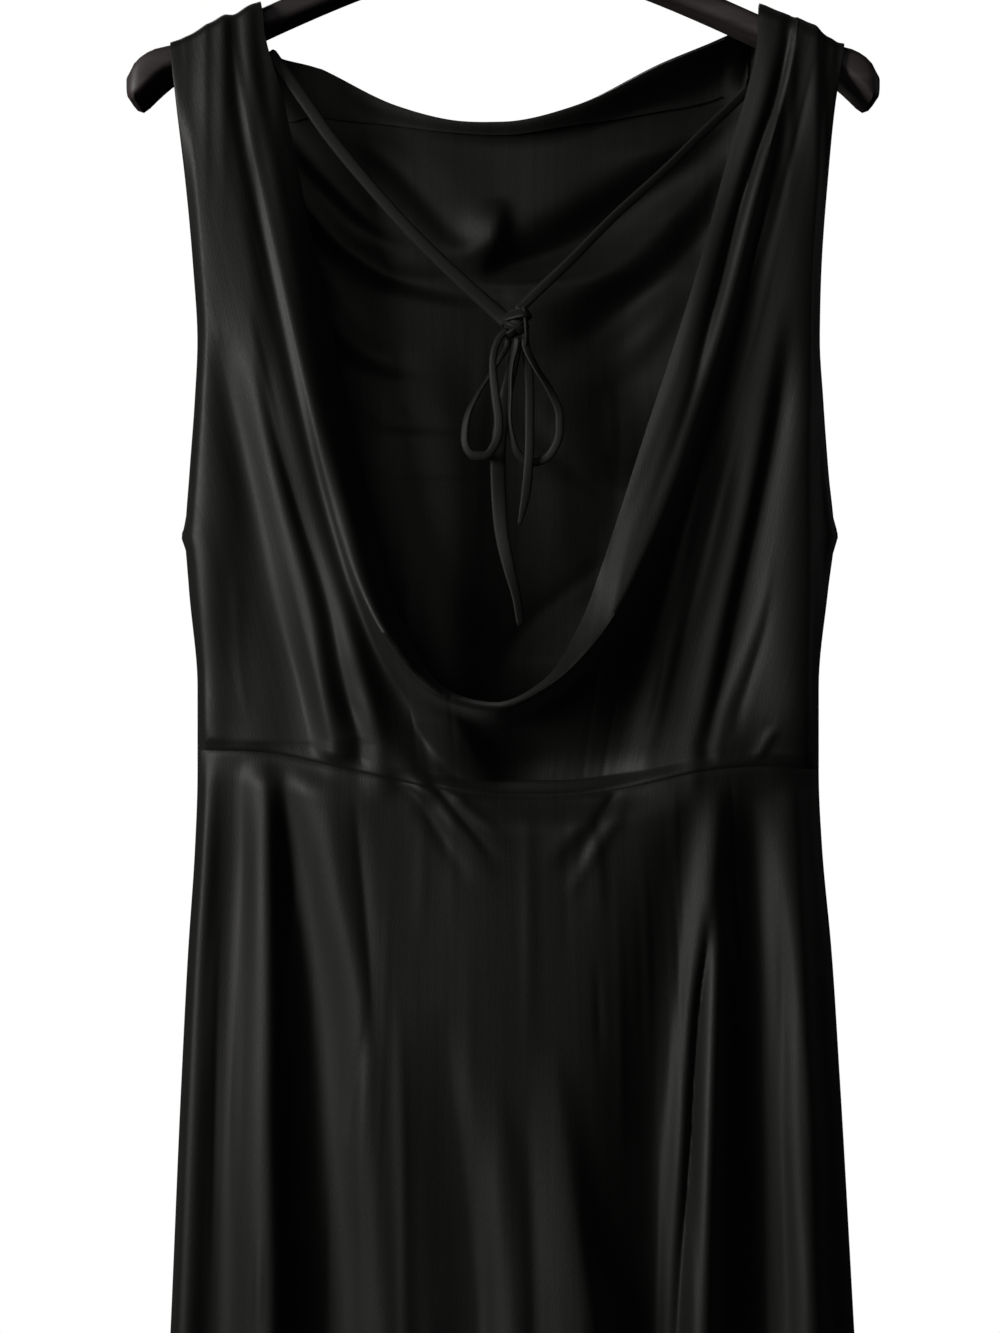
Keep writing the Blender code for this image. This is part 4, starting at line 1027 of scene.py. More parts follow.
def make_front():
    """The high front, from the shoulder seams and the neckline down to the waist seam."""
    neck = np.array(NECKLINE, float)
    length = lengths_along(neck[:, :2])
    neck = smooth_table(length, neck, even_stations(0, length[-1], FRONT_NECK_CELLS))
    seam_x = [outline(side, SHOULDER_DROP) for side in ("left", "right")]
    top_x = np.concatenate([
        np.linspace(seam_x[0], neck[0, 0], FRONT_STRAP_CELLS + 1)[:-1],
        neck[:, 0],
        np.linspace(neck[-1, 0], seam_x[1], FRONT_STRAP_CELLS + 1)[1:],
    ])
    top_drop = shoulder_drop(top_x)
    inner = slice(FRONT_STRAP_CELLS + 1, -FRONT_STRAP_CELLS - 1)
    top_drop[inner] = neck[1:-1, 1]
    low_x, low_drop = waist_stations("front_drop", len(top_x) - 1)
    low_drop = low_drop - SEAM_GAP / 2
    turned = SHOULDER_ROWS[:, None] + 0 * top_drop
    start = top_drop + SHOULDER_FLAT + SHOULDER_TURN
    f = np.linspace(0, 1, FRONT_DOWN_CELLS + 1)[:, None]
    f = 1 - (1 - f) ** FRONT_CROWDING
    drop = np.concatenate([top_drop + turned, start + (low_drop - start) * f])
    f = (drop - top_drop) / (low_drop - top_drop)
    where = side_to_side(top_x, top_drop) * (1 - f) + side_to_side(low_x, low_drop) * f
    where[:, 0], where[:, -1] = -1, 1
    x = place_across(where, drop)
    flow = np.stack([where * FRONT_HALF_WIDTH, drop], axis=-1)
    return cloth_sheet("front_bodice_jersey", with_nubs(front_points(x, drop), drop), flow, 1)


front = make_front()

# %% [markdown]
# ## The facing inside the neckline
# A narrow second layer backs the high neckline, so its edge is clean on both sides. It is read
# from the front's own surface and moved in by one thickness of cloth, so the two can't cross.

# %% Make the facing
FACING_CELLS = 130
FACING_DOWN_CELLS = 14
FACING_CURL, CURL_CURVE = 0.5, 6


def make_facing():
    """The facing, lying inside the front along the neckline."""
    x = np.linspace(*FACING_ENDS, FACING_CELLS + 1)
    top, low = neckline("drop", x), neckline("facing_drop", x)
    f = np.linspace(0, 1, FACING_DOWN_CELLS + 1)[:, None]
    drop = top + (low - top) * f
    points = front_points(x + 0 * f, drop)
    normals = unit(np.cross(np.gradient(points, axis=1), np.gradient(points, axis=0)))
    curl = FACING_CURL * f**CURL_CURVE
    points = points - (CLOTH + SEAM_GAP + curl[..., None]) * normals
    flow = np.stack(np.broadcast_arrays(x, drop), axis=-1)
    return cloth_sheet("front_neck_facing_jersey", points, flow, 1)


facing = make_facing()

# %% [markdown]
# ## The bias-cut skirt
# Cloth cut on the bias hangs close at the waist and flares on its own, in long folds that begin
# below the seam and deepen towards the hem. The middle of the back stays smooth, like a plate in
# the shape of a V. On both sides crests and black grooves follow each other, one with a fine
# pressed line in it. Under the seam, where the pocket of the drape pulls, a few short creases fan
# out. Below the camera's view the folds run on and open.

# %% Place the folds of the skirt's back
BACK_SKIRT_FOLDS = (
    # the stiff rim of the left side, and the groove by it
    (2.0, ((-172, 575, 2, 6, 7), (-174, 618, 4, 7, 7), (-178, 704, 5, 8, 9), (-182, 790, 6, 9, 10),
           (-185, 876, 7, 10, 11), (-222, 1590, 9, 14, 16))),
    (2.0, ((-154, 578, -3, 11, 9), (-153, 618, -6.5, 15, 9), (-156, 704, -7, 17, 12),
           (-160, 790, -7, 16, 14), (-161, 876, -8, 18, 16), (-186, 1590, -11, 22, 18))),
    # the broad lit fold with its sharp crest, and the black slope on its right
    (1.8, ((-139, 575, 2, 13, 6), (-136.5, 605, 4, 15, 6), (-135.5, 704, 5.5, 18, 7),
           (-134.5, 790, 7, 19, 8), (-133, 876, 8, 20, 9), (-142, 1200, 12, 26, 12),
           (-150, 1590, 15, 30, 16))),
    (2.0, ((-127, 572, -1, 5, 7), (-123, 618, -8, 9, 16), (-110, 704, -13, 15, 25),
           (-103, 790, -16, 20, 30), (-98, 876, -18, 23, 34), (-100, 1200, -19, 24, 28),
           (-104, 1590, -21, 27, 30))),
    # the light band beside it
    (2.0, ((-102, 590, 1, 12, 9), (-97, 640, 3, 14, 9), (-84, 704, 4, 16, 10),
           (-79, 790, 5, 17, 11), (-73, 876, 5, 18, 12), (-70, 1200, 8, 20, 14),
           (-70, 1590, 11, 22, 18))),
    # a fine groove and crest in it
    (1.6, ((-86, 585, 0, 3.5, 4), (-83, 618, -1.4, 4, 5), (-79, 660, -1.6, 4, 5),
           (-76, 700, -1.2, 4, 4), (-74, 740, 0, 3, 4))),
    (1.6, ((-78, 705, 0, 3, 3), (-81, 735, -1, 3, 4), (-86, 760, -1.2, 3, 4),
           (-90, 790, 0, 3, 3))),
    # the long slope left of the smooth middle, with a thin crest on it
    (2.0, ((-36, 710, 0, 12, 8), (-30, 757, -3, 20, 9), (-24, 800, -6, 28, 13),
           (-19, 845, -9, 32, 14), (-15, 895, -11.5, 36, 13), (-18, 1200, -13, 32, 15),
           (-22, 1590, -16, 28, 20))),
    (1.6, ((-60, 700, 0, 5, 4), (-58, 760, 1.2, 5, 4), (-57, 820, 1.6, 5, 4),
           (-56, 895, 1.2, 6, 4), (-54, 1000, 0, 5, 5))),
    # folds that open low in the middle
    (1.8, ((-6, 745, 0, 8, 5), (1, 790, 1.4, 10, 7), (4, 850, 1.8, 12, 9), (6, 895, 2, 13, 10),
           (8, 1200, 10, 14, 10), (10, 1590, 13, 18, 14))),
    (2.0, ((12, 760, 0, 5, 5), (15, 800, -0.8, 5, 6), (18, 876, -1.4, 5, 7), (23, 1200, -5, 8, 9),
           (28, 1590, -8, 12, 12))),
    (1.8, ((28, 730, 0, 10, 8), (36, 790, 4.5, 16, 10), (43.5, 845, 9, 21, 10),
           (51, 895, 13, 25, 11), (43, 1200, 10, 16, 12), (46, 1590, 13, 18, 16))),
    # the narrow fold that starts under the seam
    (1.7, ((49, 598, 0, 6, 4), (53, 616, 1.2, 7, 4), (55, 640, 1, 8, 4), (56, 665, 0, 8, 4))),
    # the wide black slope right of the middle
    (2.0, ((110, 588, 0, 9, 9), (106, 618, -4, 16, 12), (102, 660, -7, 24, 14),
           (98, 704, -11, 30, 14), (91, 790, -16, 31, 14), (88, 876, -19, 31, 12),
           (85, 1200, -20, 28, 16), (87, 1590, -22, 26, 20))),
    # the crest with a pressed line in it
    (1.8, ((124, 576, 0, 9, 6), (123, 605, 4, 11, 6), (120, 640, 4.5, 12, 6),
           (109.5, 704, 4, 11, 5), (103, 790, 4, 9, 5), (98, 876, 1.5, 8, 5),
           (96, 1000, 0.6, 8, 6), (96, 1200, 0, 8, 8))),
    (1.8, ((119, 650, 0, 3, 3), (117, 675, -2.5, 3, 3), (113.5, 704, -5, 3.4, 3.4),
           (108, 790, -6.5, 4, 4), (102.5, 876, -8, 5, 4.5), (99, 1050, -5, 6, 5),
           (95, 1250, 0, 6, 6))),
    (1.8, ((124, 640, 0, 4, 5), (123.5, 670, 3, 4, 5), (122, 704, 5, 5, 5.5), (119, 790, 8, 7, 6),
           (116, 876, 9, 9, 7), (114, 1050, 11, 12, 9), (116, 1250, 13, 13, 12),
           (120, 1590, 16, 16, 15))),
    # the black slope beside it, and the last light band
    (2.0, ((143, 583, -1, 10, 9), (146, 618, -6, 14, 11), (150, 704, -11, 20, 14),
           (151, 790, -13, 22, 15), (152, 876, -14, 23, 16), (154, 1200, -16, 23, 16),
           (158, 1590, -18, 24, 18))),
    (1.9, ((168, 573, 2, 8, 7), (169, 610, 4, 13, 7), (173, 704, 6, 14, 7), (176, 790, 7, 15, 8),
           (179, 876, 8, 16, 8), (188, 1200, 11, 19, 14), (196, 1590, 14, 21, 18))),
    (1.7, ((162, 640, 0, 4, 4), (163, 704, -2, 4, 4.5), (163.5, 790, -2.6, 5, 5),
           (165, 876, -3, 5, 6), (168, 1100, 0, 7, 7))),
)
# short creases that start in the seam itself, under the weight of the drape
SEAM_CREASES = (
    (1.8, ((-55, 581, -1.2, 5, 4), (-50, 588, -2.4, 5, 5), (-31, 618, -2, 5, 6),
           (-21, 638, 0, 5, 6))),
    (1.8, ((-43, 582, 1, 5, 4), (-39, 588, 2.1, 6, 4), (-18, 615, 1.8, 7, 4), (-5, 636, 0, 6, 5))),
    (1.8, ((-37, 583, -1, 4, 3.5), (-33.5, 589, -1.6, 4, 4), (-13, 613, -1, 4, 4),
           (-4, 624, 0, 4, 4))),
    (1.8, ((-28, 585, 0.8, 4, 4), (-25, 591, 1.3, 4, 4), (-6, 609, 0.8, 4, 4), (2, 618, 0, 4, 4))),
    (1.8, ((62, 583, 0.8, 6, 4), (57, 590, 1.6, 7, 4), (37, 613, 1.4, 7, 4), (26, 630, 0, 6, 5))),
    (1.8, ((67, 583, -1, 4, 4), (61, 594, -1.8, 4, 5), (46, 621, -1.6, 5, 5), (38, 640, 0, 5, 5))),
    (1.8, ((73, 584, 0, 4, 4), (66, 597, 1.4, 5, 4), (44, 633, 1.2, 6, 4), (36, 650, 0, 5, 5))),
)
print("folds of the skirt's back:", len(BACK_SKIRT_FOLDS), "and creases:", len(SEAM_CREASES))

# %% Place the folds of the skirt's front
FRONT_SKIRT_FOLDS = (
    (1.9, ((-150, 585, 0, 10, 7), (-150, 640, 7, 15, 9), (-152, 895, 11, 18, 11),
           (-176, 1590, 15, 24, 16))),
    (2.0, ((-118, 590, 0, 8, 8), (-119, 650, -7, 12, 10), (-122, 895, -12, 15, 12),
           (-136, 1590, -17, 22, 18))),
    (1.8, ((-84, 600, 0, 8, 8), (-87, 680, 6, 11, 12), (-92, 895, 10, 13, 16),
           (-96, 1590, 14, 18, 22))),
    (2.0, ((-40, 660, 0, 9, 9), (-46, 760, -6, 13, 11), (-52, 895, -10, 15, 12),
           (-54, 1590, -16, 22, 18))),
    (1.8, ((-4, 720, 0, 9, 9), (-5, 800, 6, 12, 12), (-6, 895, 9, 14, 15),
           (-8, 1590, 15, 20, 22))),
    (2.0, ((38, 660, 0, 9, 9), (37, 760, -6, 11, 12), (36, 895, -10, 13, 14),
           (40, 1590, -16, 18, 20))),
    (1.8, ((78, 600, 0, 9, 7), (79, 680, 7, 12, 8), (80, 895, 11, 14, 10),
           (86, 1590, 15, 20, 15))),
    (2.0, ((112, 585, 0, 7, 9), (114, 660, -8, 9, 12), (118, 895, -12, 10, 15),
           (130, 1590, -17, 14, 20))),
    (1.9, ((150, 575, 1, 8, 10), (151, 640, 7, 11, 13), (154, 895, 11, 13, 16),
           (176, 1590, 15, 18, 22))),
    (1.6, ((-104, 590, 0, 3, 3), (-101, 640, -2, 3.5, 3), (-99, 720, -2.4, 4, 3),
           (-100, 820, 0, 3, 3))),
    (1.6, ((60, 600, 0, 3, 3), (62, 660, 2, 3.5, 3), (60, 760, 2.2, 4, 3), (58, 860, 0, 3, 3))),
    (1.7, ((20, 590, 0, 4, 4), (16, 640, 1.8, 5, 4), (12, 720, 2, 5, 5), (10, 800, 0, 5, 5))),
)
print("folds of the skirt's front:", len(FRONT_SKIRT_FOLDS))

# %% Make the skirt
SKIRT_PANELS = {
    # its folds, the seam's relief, its seed, its cells across, its side
    "back": (BACK_SKIRT_FOLDS, BACK_SEAM_RELIEF, 21, 320, -1),
    "front": (FRONT_SKIRT_FOLDS, FRONT_SEAM_RELIEF, 31, 220, 1),
}
SKIRT_DOWN_CELLS = 132
SKIRT_SEAM_REACH, SEAM_CREASE_REACH, SKIRT_SIDE_REACH = 20.0, 3.0, 7.0
SKIRT_HALF_WIDTH = 190
HEM_CROWDING = 1.5


def skirt_points(x, drop, panel):
    """The inner side of a skirt panel."""
    panel_folds, relief, seed, _, side = SKIRT_PANELS[panel]
    across, seam = side_to_side(x, drop) * SKIRT_HALF_WIDTH, panel + "_drop"
    folds = fold_sum(panel_folds, x, drop)
    folds += streaks(
        across, drop, seed=seed, count=60, places=(-178, 178),
        drops=(600, 1000), sizes=(0.2, 0.75), widths=(1.8, 5), lengths=(70, 260),
    )
    folds += streaks(
        across, drop, seed=seed + 1, count=30, places=(-178, 178),
        drops=(950, 1600), sizes=(0.6, 2), widths=(5, 12), lengths=(220, 520),
    )
    folds += waves(x, drop, seed=seed + 2, size=1.8, lengths=(45, 140))
    folds = folds * side_ease(x, drop, SKIRT_SIDE_REACH)
    folds = meet_seam(folds, x, drop, seam, relief, SKIRT_SEAM_REACH)
    if panel == "back":
        below = drop - waist_drop(seam, x)
        folds = folds + fold_sum(SEAM_CREASES, x, drop) * ease(below / SEAM_CREASE_REACH)
    depth = smooth_depth(x, drop, panel) + folds
    return np.stack([x + 0 * drop, side * depth, -drop], axis=-1)


def make_skirt(panel):
    """A skirt panel, from the waist seam to the hem."""
    *_, cells, side = SKIRT_PANELS[panel]
    waist_x, top_drop = waist_stations(panel + "_drop", cells)
    top_drop = top_drop + SEAM_GAP / 2
    f = (np.linspace(0, 1, SKIRT_DOWN_CELLS + 1) ** HEM_CROWDING)[:, None]
    drop = top_drop + (HEM_DROP - top_drop) * f
    where = side_to_side(waist_x, top_drop)
    where[0], where[-1] = -1, 1
    points = skirt_points(place_across(where, drop), drop, panel)
    flow = np.stack([where * SKIRT_HALF_WIDTH + 0 * drop, drop], axis=-1)
    return cloth_sheet(panel + "_skirt_jersey", points, flow, side)


back_skirt, front_skirt = make_skirt("back"), make_skirt("front")

# %% [markdown]
# ## The stitches
# Jersey is hemmed with a twin needle, which leaves two rows of small stitches side by side. One
# stitch is modelled and repeated along each row, half sunk in the cloth: two rows above the hem of
# the skirt and two beside each armhole. A row is walked along the panel's own surface.

# %% Model one stitch
STITCH_LENGTH, STITCH_PITCH, STITCH_RADIUS, STITCH_ROUNDING = 2.2, 3.0, 0.3, 0.14
SAME_END = 0.01
deselect()
bpy.ops.mesh.primitive_cylinder_add(
    vertices=6, radius=STITCH_RADIUS * MM, depth=STITCH_LENGTH * MM, rotation=(0, math.pi / 2, 0)
)
stitch = settled("one_stitch")
bpy.ops.object.mode_set(mode="EDIT")
mesh = bmesh.from_edit_mesh(stitch.data)
# the edges round its two ends
for edge in mesh.edges:
    edge.select = abs(edge.verts[0].co.x - edge.verts[1].co.x) < SAME_END * MM
bmesh.update_edit_mesh(stitch.data)
bpy.ops.mesh.bevel(offset=STITCH_ROUNDING * MM, segments=1)
bpy.ops.mesh.select_all(action="SELECT")
bpy.ops.mesh.normals_make_consistent(inside=False)
bpy.ops.object.mode_set(mode="OBJECT")
print("faces in a stitch:", len(stitch.data.polygons))

# %% Walk a row along a surface
HEM_ROWS, ARMHOLE_ROWS = (20.0, 25.0), (6.5, 9.5)
ARMHOLE_TOP = 176.0
ARMHOLE_STEP, HEM_STEPS = 2.0, 700
UNDERARM_CLEARANCE, HEM_CLEARANCE = 4, 8


def row_places(surface, x, drop, side):
    """Stitches along a row: each one's place on the outer side, its direction and its normal."""
    across = surface(x + 0.5, drop) - surface(x - 0.5, drop)
    down = surface(x, drop + 0.5) - surface(x, drop - 0.5)
    normal = unit(np.cross(across, down) * -side)
    outer = surface(x, drop) + normal * CLOTH
    along = lengths_along(outer)
    stations = np.arange(STITCH_PITCH, along[-1] - STITCH_PITCH, STITCH_PITCH)
    return [
        np.stack([np.interp(stations, along, one) for one in values.T], axis=1)
        for values in (outer, np.gradient(outer, along, axis=0), normal)
    ]


def armhole_rows(surface, side):
    """Two rows beside each armhole of a bodice panel."""
    drop = np.arange(ARMHOLE_TOP, UNDERARM_DROP - UNDERARM_CLEARANCE, ARMHOLE_STEP)
    return [
        row_places(surface, outline(edge, drop) + inwards * inset, drop, side)
        for edge, inwards in (("left", 1), ("right", -1)) for inset in ARMHOLE_ROWS
    ]


def hem_rows(surface, side):
    """Two rows above the hem of a skirt panel."""
    rows = []
    for above in HEM_ROWS:
        drop = HEM_DROP - above
        left, right = outline("left", drop), outline("right", drop)
        x = np.linspace(left + HEM_CLEARANCE, right - HEM_CLEARANCE, HEM_STEPS)
        rows.append(row_places(surface, x, drop + 0 * x, side))
    return rows


print("rows at", HEM_ROWS, "mm above the hem and", ARMHOLE_ROWS, "mm beside the armholes")


# %% Sew the rows
AWAY_FROM_RIDGE = 99.0


def sew(name, rows):
    """One joined piece from copies of the stitch along several rows."""
    copies = []
    for place, run, up in rows:
        for at, direction, out in zip(place, run, up):
            x_axis = Vector(direction).normalized()
            y_axis = Vector(out).cross(x_axis).normalized()
            turn = Matrix((x_axis, y_axis, x_axis.cross(y_axis))).transposed().to_4x4()
            copy = stitch.copy()
            copy.data = stitch.data.copy()
            copy.matrix_world = Matrix.Translation(Vector(at) * MM) @ turn
            bpy.context.scene.collection.objects.link(copy)
            copies.append(copy)
    deselect()
    for copy in copies:
        copy.select_set(True)
    bpy.context.view_layer.objects.active = copies[0]
    bpy.ops.object.join()
    piece = settled(name)
    piece.data.uv_layers[0].name = "flow"
    print(name, len(copies), "stitches")
    return piece


def plain_back(x, drop):
    """The back beside its armholes, where the drape's ridge is far off."""
    return back_points(x, drop, AWAY_FROM_RIDGE, 0.0)


def skirt_hem(panel, side):
    """The rows above the hem of one skirt panel."""
    return hem_rows(lambda x, drop: skirt_points(x, drop, panel), side)


stitches = {
    back: sew("back_armhole_stitches", armhole_rows(plain_back, -1)),
    front: sew("front_armhole_stitches", armhole_rows(front_points, 1)),
    back_skirt: sew("back_hem_stitches", skirt_hem("back", -1)),
    front_skirt: sew("front_hem_stitches", skirt_hem("front", 1)),
}
bpy.data.objects.remove(stitch)

# %% [markdown]
# ## The wooden hanger
# Each arm is sawn from a board, rounded, and broadens into a tip that turns down under the cloth.
# By hand it is one cube: its end face is pushed out again and again along the arm and scaled to
# the height and depth that the arm has there. The other arm is its mirror image, and the long
# edges are then rounded over with a bevel, as a router would.

# %% Add the cube and shape its ends
ARM_STATIONS, TIP_CROWDING = 34, 1.35
sections = np.array(HANGER_SECTIONS, float)
stations = sections[-1, 0] * (1 - (1 - np.linspace(0, 1, ARM_STATIONS)) ** TIP_CROWDING)
rows = smooth_table(sections[:, 0], sections, stations)
deselect()
bpy.ops.mesh.primitive_cube_add(size=MM, location=(0, 0, 0))
arms = settled("hanger_arms_wood")


def place_end(mesh, out, top, height, depth):
    """Moves the selected end face to its station and gives it the arm's section there."""
    corners = [vertex for vertex in mesh.vertices if vertex.select]
    middle = sum((vertex.co for vertex in corners), Vector()) / len(corners)
    size = [max(v.co[k] for v in corners) - min(v.co[k] for v in corners) for k in range(3)]
    bpy.ops.object.mode_set(mode="EDIT")
    target = Vector((out, 0, -top - height / 2)) * MM
    bpy.ops.transform.translate(value=target - middle)
    bpy.ops.transform.resize(
        value=(1, depth * MM / size[1], height * MM / size[2]), center_override=target
    )
    bpy.ops.object.mode_set(mode="OBJECT")


def select_only(mesh, face):
    """Selects one face with its corners, and nothing else."""
    for part in (*mesh.vertices, *mesh.edges, *mesh.polygons):
        part.select = False
    face.select = True
    for index in face.vertices:
        mesh.vertices[index].select = True


def select_end(mesh):
    """Selects only the face furthest along the arm."""
    select_only(mesh, max(mesh.polygons, key=lambda face: (face.normal.x > 0.5, face.center.x)))


bpy.ops.object.mode_set(mode="EDIT")
bpy.ops.mesh.select_mode(type="FACE")
bpy.ops.object.mode_set(mode="OBJECT")
select_only(arms.data, min(arms.data.polygons, key=lambda face: face.normal.x))
place_end(arms.data, 0, *rows[0][1:])
print("stations along the arm:", len(rows))

# %% Extrude the arm and mirror it
EDGE_ROUNDING, ROUNDING_STEPS, ROUNDED_ANGLE = 4.2, 4, 50
# how far an end is pushed out before it is placed, and where the middle is cut and merged
PUSH, MIDDLE_CUT, MIDDLE_MERGE = 0.1, 0.01, 0.05
for number, row in enumerate(rows[1:]):
    select_end(arms.data)
    if number:
        bpy.ops.object.mode_set(mode="EDIT")
        bpy.ops.mesh.extrude_region_move(TRANSFORM_OT_translate={"value": (PUSH * MM, 0, 0)})
        bpy.ops.object.mode_set(mode="OBJECT")
        select_end(arms.data)
    place_end(arms.data, *row)
bpy.ops.object.mode_set(mode="EDIT")
bpy.ops.mesh.select_all(action="SELECT")
bpy.ops.mesh.bisect(plane_co=(MIDDLE_CUT * MM, 0, 0), plane_no=(1, 0, 0), clear_inner=True)
bpy.ops.object.mode_set(mode="OBJECT")
for vertex in arms.data.vertices:
    if vertex.co.x < 2 * MIDDLE_CUT * MM:
        vertex.co.x = 0
mirror = arms.modifiers.new("mirror", "MIRROR")
mirror.merge_threshold = MIDDLE_MERGE * MM
rounding = arms.modifiers.new("rounding", "BEVEL")
rounding.width = EDGE_ROUNDING * MM
rounding.segments = ROUNDING_STEPS
rounding.limit_method = "ANGLE"
rounding.angle_limit = math.radians(ROUNDED_ANGLE)
for modifier in ("mirror", "rounding"):
    bpy.ops.object.modifier_apply(modifier=modifier)
bpy.ops.object.mode_set(mode="EDIT")
close_and_shade()
print("arms", len(arms.data.polygons), "faces, box", [round(v, 4) for v in arms.dimensions])

# %% [markdown]
# ## The hook
# A wire hook screws into the middle of the wood. A disc is drawn up along the shank, leans over,
# and is then spun round the rail's centre: the spin operator is made for such a bend. The end is
# rounded so that it won't snag.

# %% Draw the path of the shank
WIRE_DIAMETER = 3.6
HOOK_INNER_RADIUS = 19.0
HOOK_START_TURN, HOOK_END_TURN = -45, 205
HOOK_SHANK = 32.0
HOOK_SOCKET_DEPTH = 14.0
BEND_STEPS = 14
wire_radius = WIRE_DIAMETER / 2
bend_radius = HOOK_INNER_RADIUS + wire_radius
base = -HANGER_SECTIONS[0][1] - HOOK_SOCKET_DEPTH + 2 * SEAM_GAP
turn = math.radians(HOOK_START_TURN)
shank_top = np.array([0, base + HOOK_SHANK])
bend_start = bend_radius * np.array([math.cos(turn), math.sin(turn)]) - (0, HOOK_INNER_RADIUS)
near, far = shank_top + (0, bend_radius / 2), bend_start - (bend_radius / 3, bend_radius / 3)
path = [np.array([0, base]), shank_top * 0.5 + np.array([0, base * 0.5]), shank_top]
for f in np.linspace(0, 1, BEND_STEPS + 1)[1:]:
    leaving = (1 - f) ** 3 * shank_top + 3 * f * (1 - f) ** 2 * near
    path.append(leaving + 3 * f * f * (1 - f) * far + f**3 * bend_start)
print("places on the shank's path:", len(path))

# %% Extrude and spin the hook
HOOK_SPIN_STEPS = 56
# how the end is rounded: shares of the wire's radius, and how much each ring shrinks
END_RINGS = ((0.55, 0.9), (0.3, 0.72), (0.15, 0.62))
deselect()
bpy.ops.mesh.primitive_circle_add(
    vertices=24, radius=wire_radius * MM, fill_type="NGON", location=(0, 0, base * MM)
)
hook = settled("hanger_hook_wire")
bpy.ops.object.mode_set(mode="EDIT")
bpy.ops.mesh.select_all(action="SELECT")
heading = math.pi / 2
for number in range(1, len(path)):
    step = (path[number] - path[number - 1]) * MM
    bpy.ops.mesh.extrude_region_move(TRANSFORM_OT_translate={"value": (step[0], 0, step[1])})
    ahead = path[min(number + 1, len(path) - 1)] - path[number - 1]
    new_heading = math.atan2(ahead[1], ahead[0])
    if number == len(path) - 1:
        new_heading = turn + math.pi / 2
    place = Vector((path[number][0], 0, path[number][1])) * MM
    bpy.ops.transform.rotate(
        value=new_heading - heading, orient_axis="Y", center_override=place
    )
    heading = new_heading
# The sign of this angle is wrong, and was found too late to mend: the wire turns down and round,
# where the measured hook goes up over the rail. Without the minus it follows the measured hook.
bpy.ops.mesh.spin(
    steps=HOOK_SPIN_STEPS,
    angle=-math.radians(HOOK_END_TURN - HOOK_START_TURN),
    center=(0, 0, -HOOK_INNER_RADIUS * MM),
    axis=(0, 1, 0),
)
end_turn = math.radians(HOOK_END_TURN)
end_run = Vector((-math.sin(end_turn), 0, math.cos(end_turn)))
for share, size in END_RINGS:
    bpy.ops.mesh.extrude_region_move(
        TRANSFORM_OT_translate={"value": end_run * share * wire_radius * MM}
    )
    bpy.ops.transform.resize(value=(size, size, size))
close_and_shade()
low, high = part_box("hanger_hook")
print("hook box", [round(v, 4) for v in hook.dimensions])
print("the measured hook's", [round(v, 4) for v in high - low])

# %% [markdown]
# ## Shader maths as plain Python
# A material is a net of nodes. Wrapping one socket in a small class lets a sum of nodes be written
# as a sum. Any other kind of node comes from one method: its type, its settings, its sockets.

# %% Wrap a socket
OBJECT_OUTPUT = 3


class Wire:
    """A socket in a material's net of nodes."""

    def __init__(self, net, socket=None):
        self.net = net
        self.socket = socket

    def node(self, kind, settings=None, sockets=None, output=0):
        """Adds a node: its settings first, then the values or links of its sockets."""
        node = self.net.nodes.new(kind)
        for name, value in (settings or {}).items():
            setattr(node, name, value)
        for name, value in (sockets or {}).items():
            if isinstance(value, Wire):
                self.net.links.new(value.socket, node.inputs[name])
            else:
                node.inputs[name].default_value = value
        return Wire(self.net, node.outputs[output])

    def maths(self, operation, first, second=0.0):
        """One Math node."""
        return self.node("ShaderNodeMath", {"operation": operation}, {0: first, 1: second})

    def __add__(self, other):
        return self.maths("ADD", self, other)

    def __sub__(self, other):
        return self.maths("SUBTRACT", self, other)

    def __mul__(self, other):
        return self.maths("MULTIPLY", self, other)

    def __rsub__(self, other):
        return self.maths("SUBTRACT", other, self)

    __radd__ = __add__
    __rmul__ = __mul__

    def object_place(self):
        """Object coordinates, the same as places on the object."""
        return self.node("ShaderNodeTexCoord", output=OBJECT_OUTPUT)

    def noise(self, vector, scale, detail=2.0, roughness=0.5):
        """Noise between 0 and 1, read at a stretched place."""
        stretched = self.node(
            "ShaderNodeVectorMath", {"operation": "MULTIPLY"}, {0: vector, 1: scale}
        )
        sockets = {"Vector": stretched, "Scale": 1.0, "Detail": detail, "Roughness": roughness}
        return self.node("ShaderNodeTexNoise", {}, sockets)

    def mixed(self, factor, first, second):
        """Two colours mixed by a factor."""
        node = self.net.nodes.new("ShaderNodeMix")
        node.data_type = "RGBA"
        self.net.links.new(factor.socket, node.inputs["Factor"])
        for name, value in (("A", first), ("B", second)):
            socket = [s for s in node.inputs if s.name == name and s.type == "RGBA"][0]
            if isinstance(value, Wire):
                self.net.links.new(value.socket, socket)
            else:
                socket.default_value = (*value, 1)
        return Wire(self.net, [s for s in node.outputs if s.type == "RGBA"][0])


def new_material(name):
    """A material with its shader and a wire to start from."""
    material = bpy.data.materials.new(name)
    material.use_nodes = True
    return material, material.node_tree.nodes["Principled BSDF"], Wire(material.node_tree)


def finished(material, shader, colour, gloss, height, strength, reach, constants):
    """Links what changes over a surface, and sets what is the same all over it."""
    sockets = {"Strength": strength, "Distance": reach, "Height": height}
    relief = height.node("ShaderNodeBump", {}, sockets)
    for name, wire in (("Base Color", colour), ("Roughness", gloss), ("Normal", relief)):
        material.node_tree.links.new(wire.socket, shader.inputs[name])
    for name, value in constants.items():
        shader.inputs[name].default_value = value
    return material


print("shader helpers ready")

# %% [markdown]
# ## Black jersey
# Viscose jersey is black but not flat: its loops lie in fine lengthwise ribs that throw a soft
# silky light, stronger where the cloth is pulled smooth and weaker where it has been handled. The
# pattern follows the piece's own flow map, so the ribs run with the cloth and not with the room.

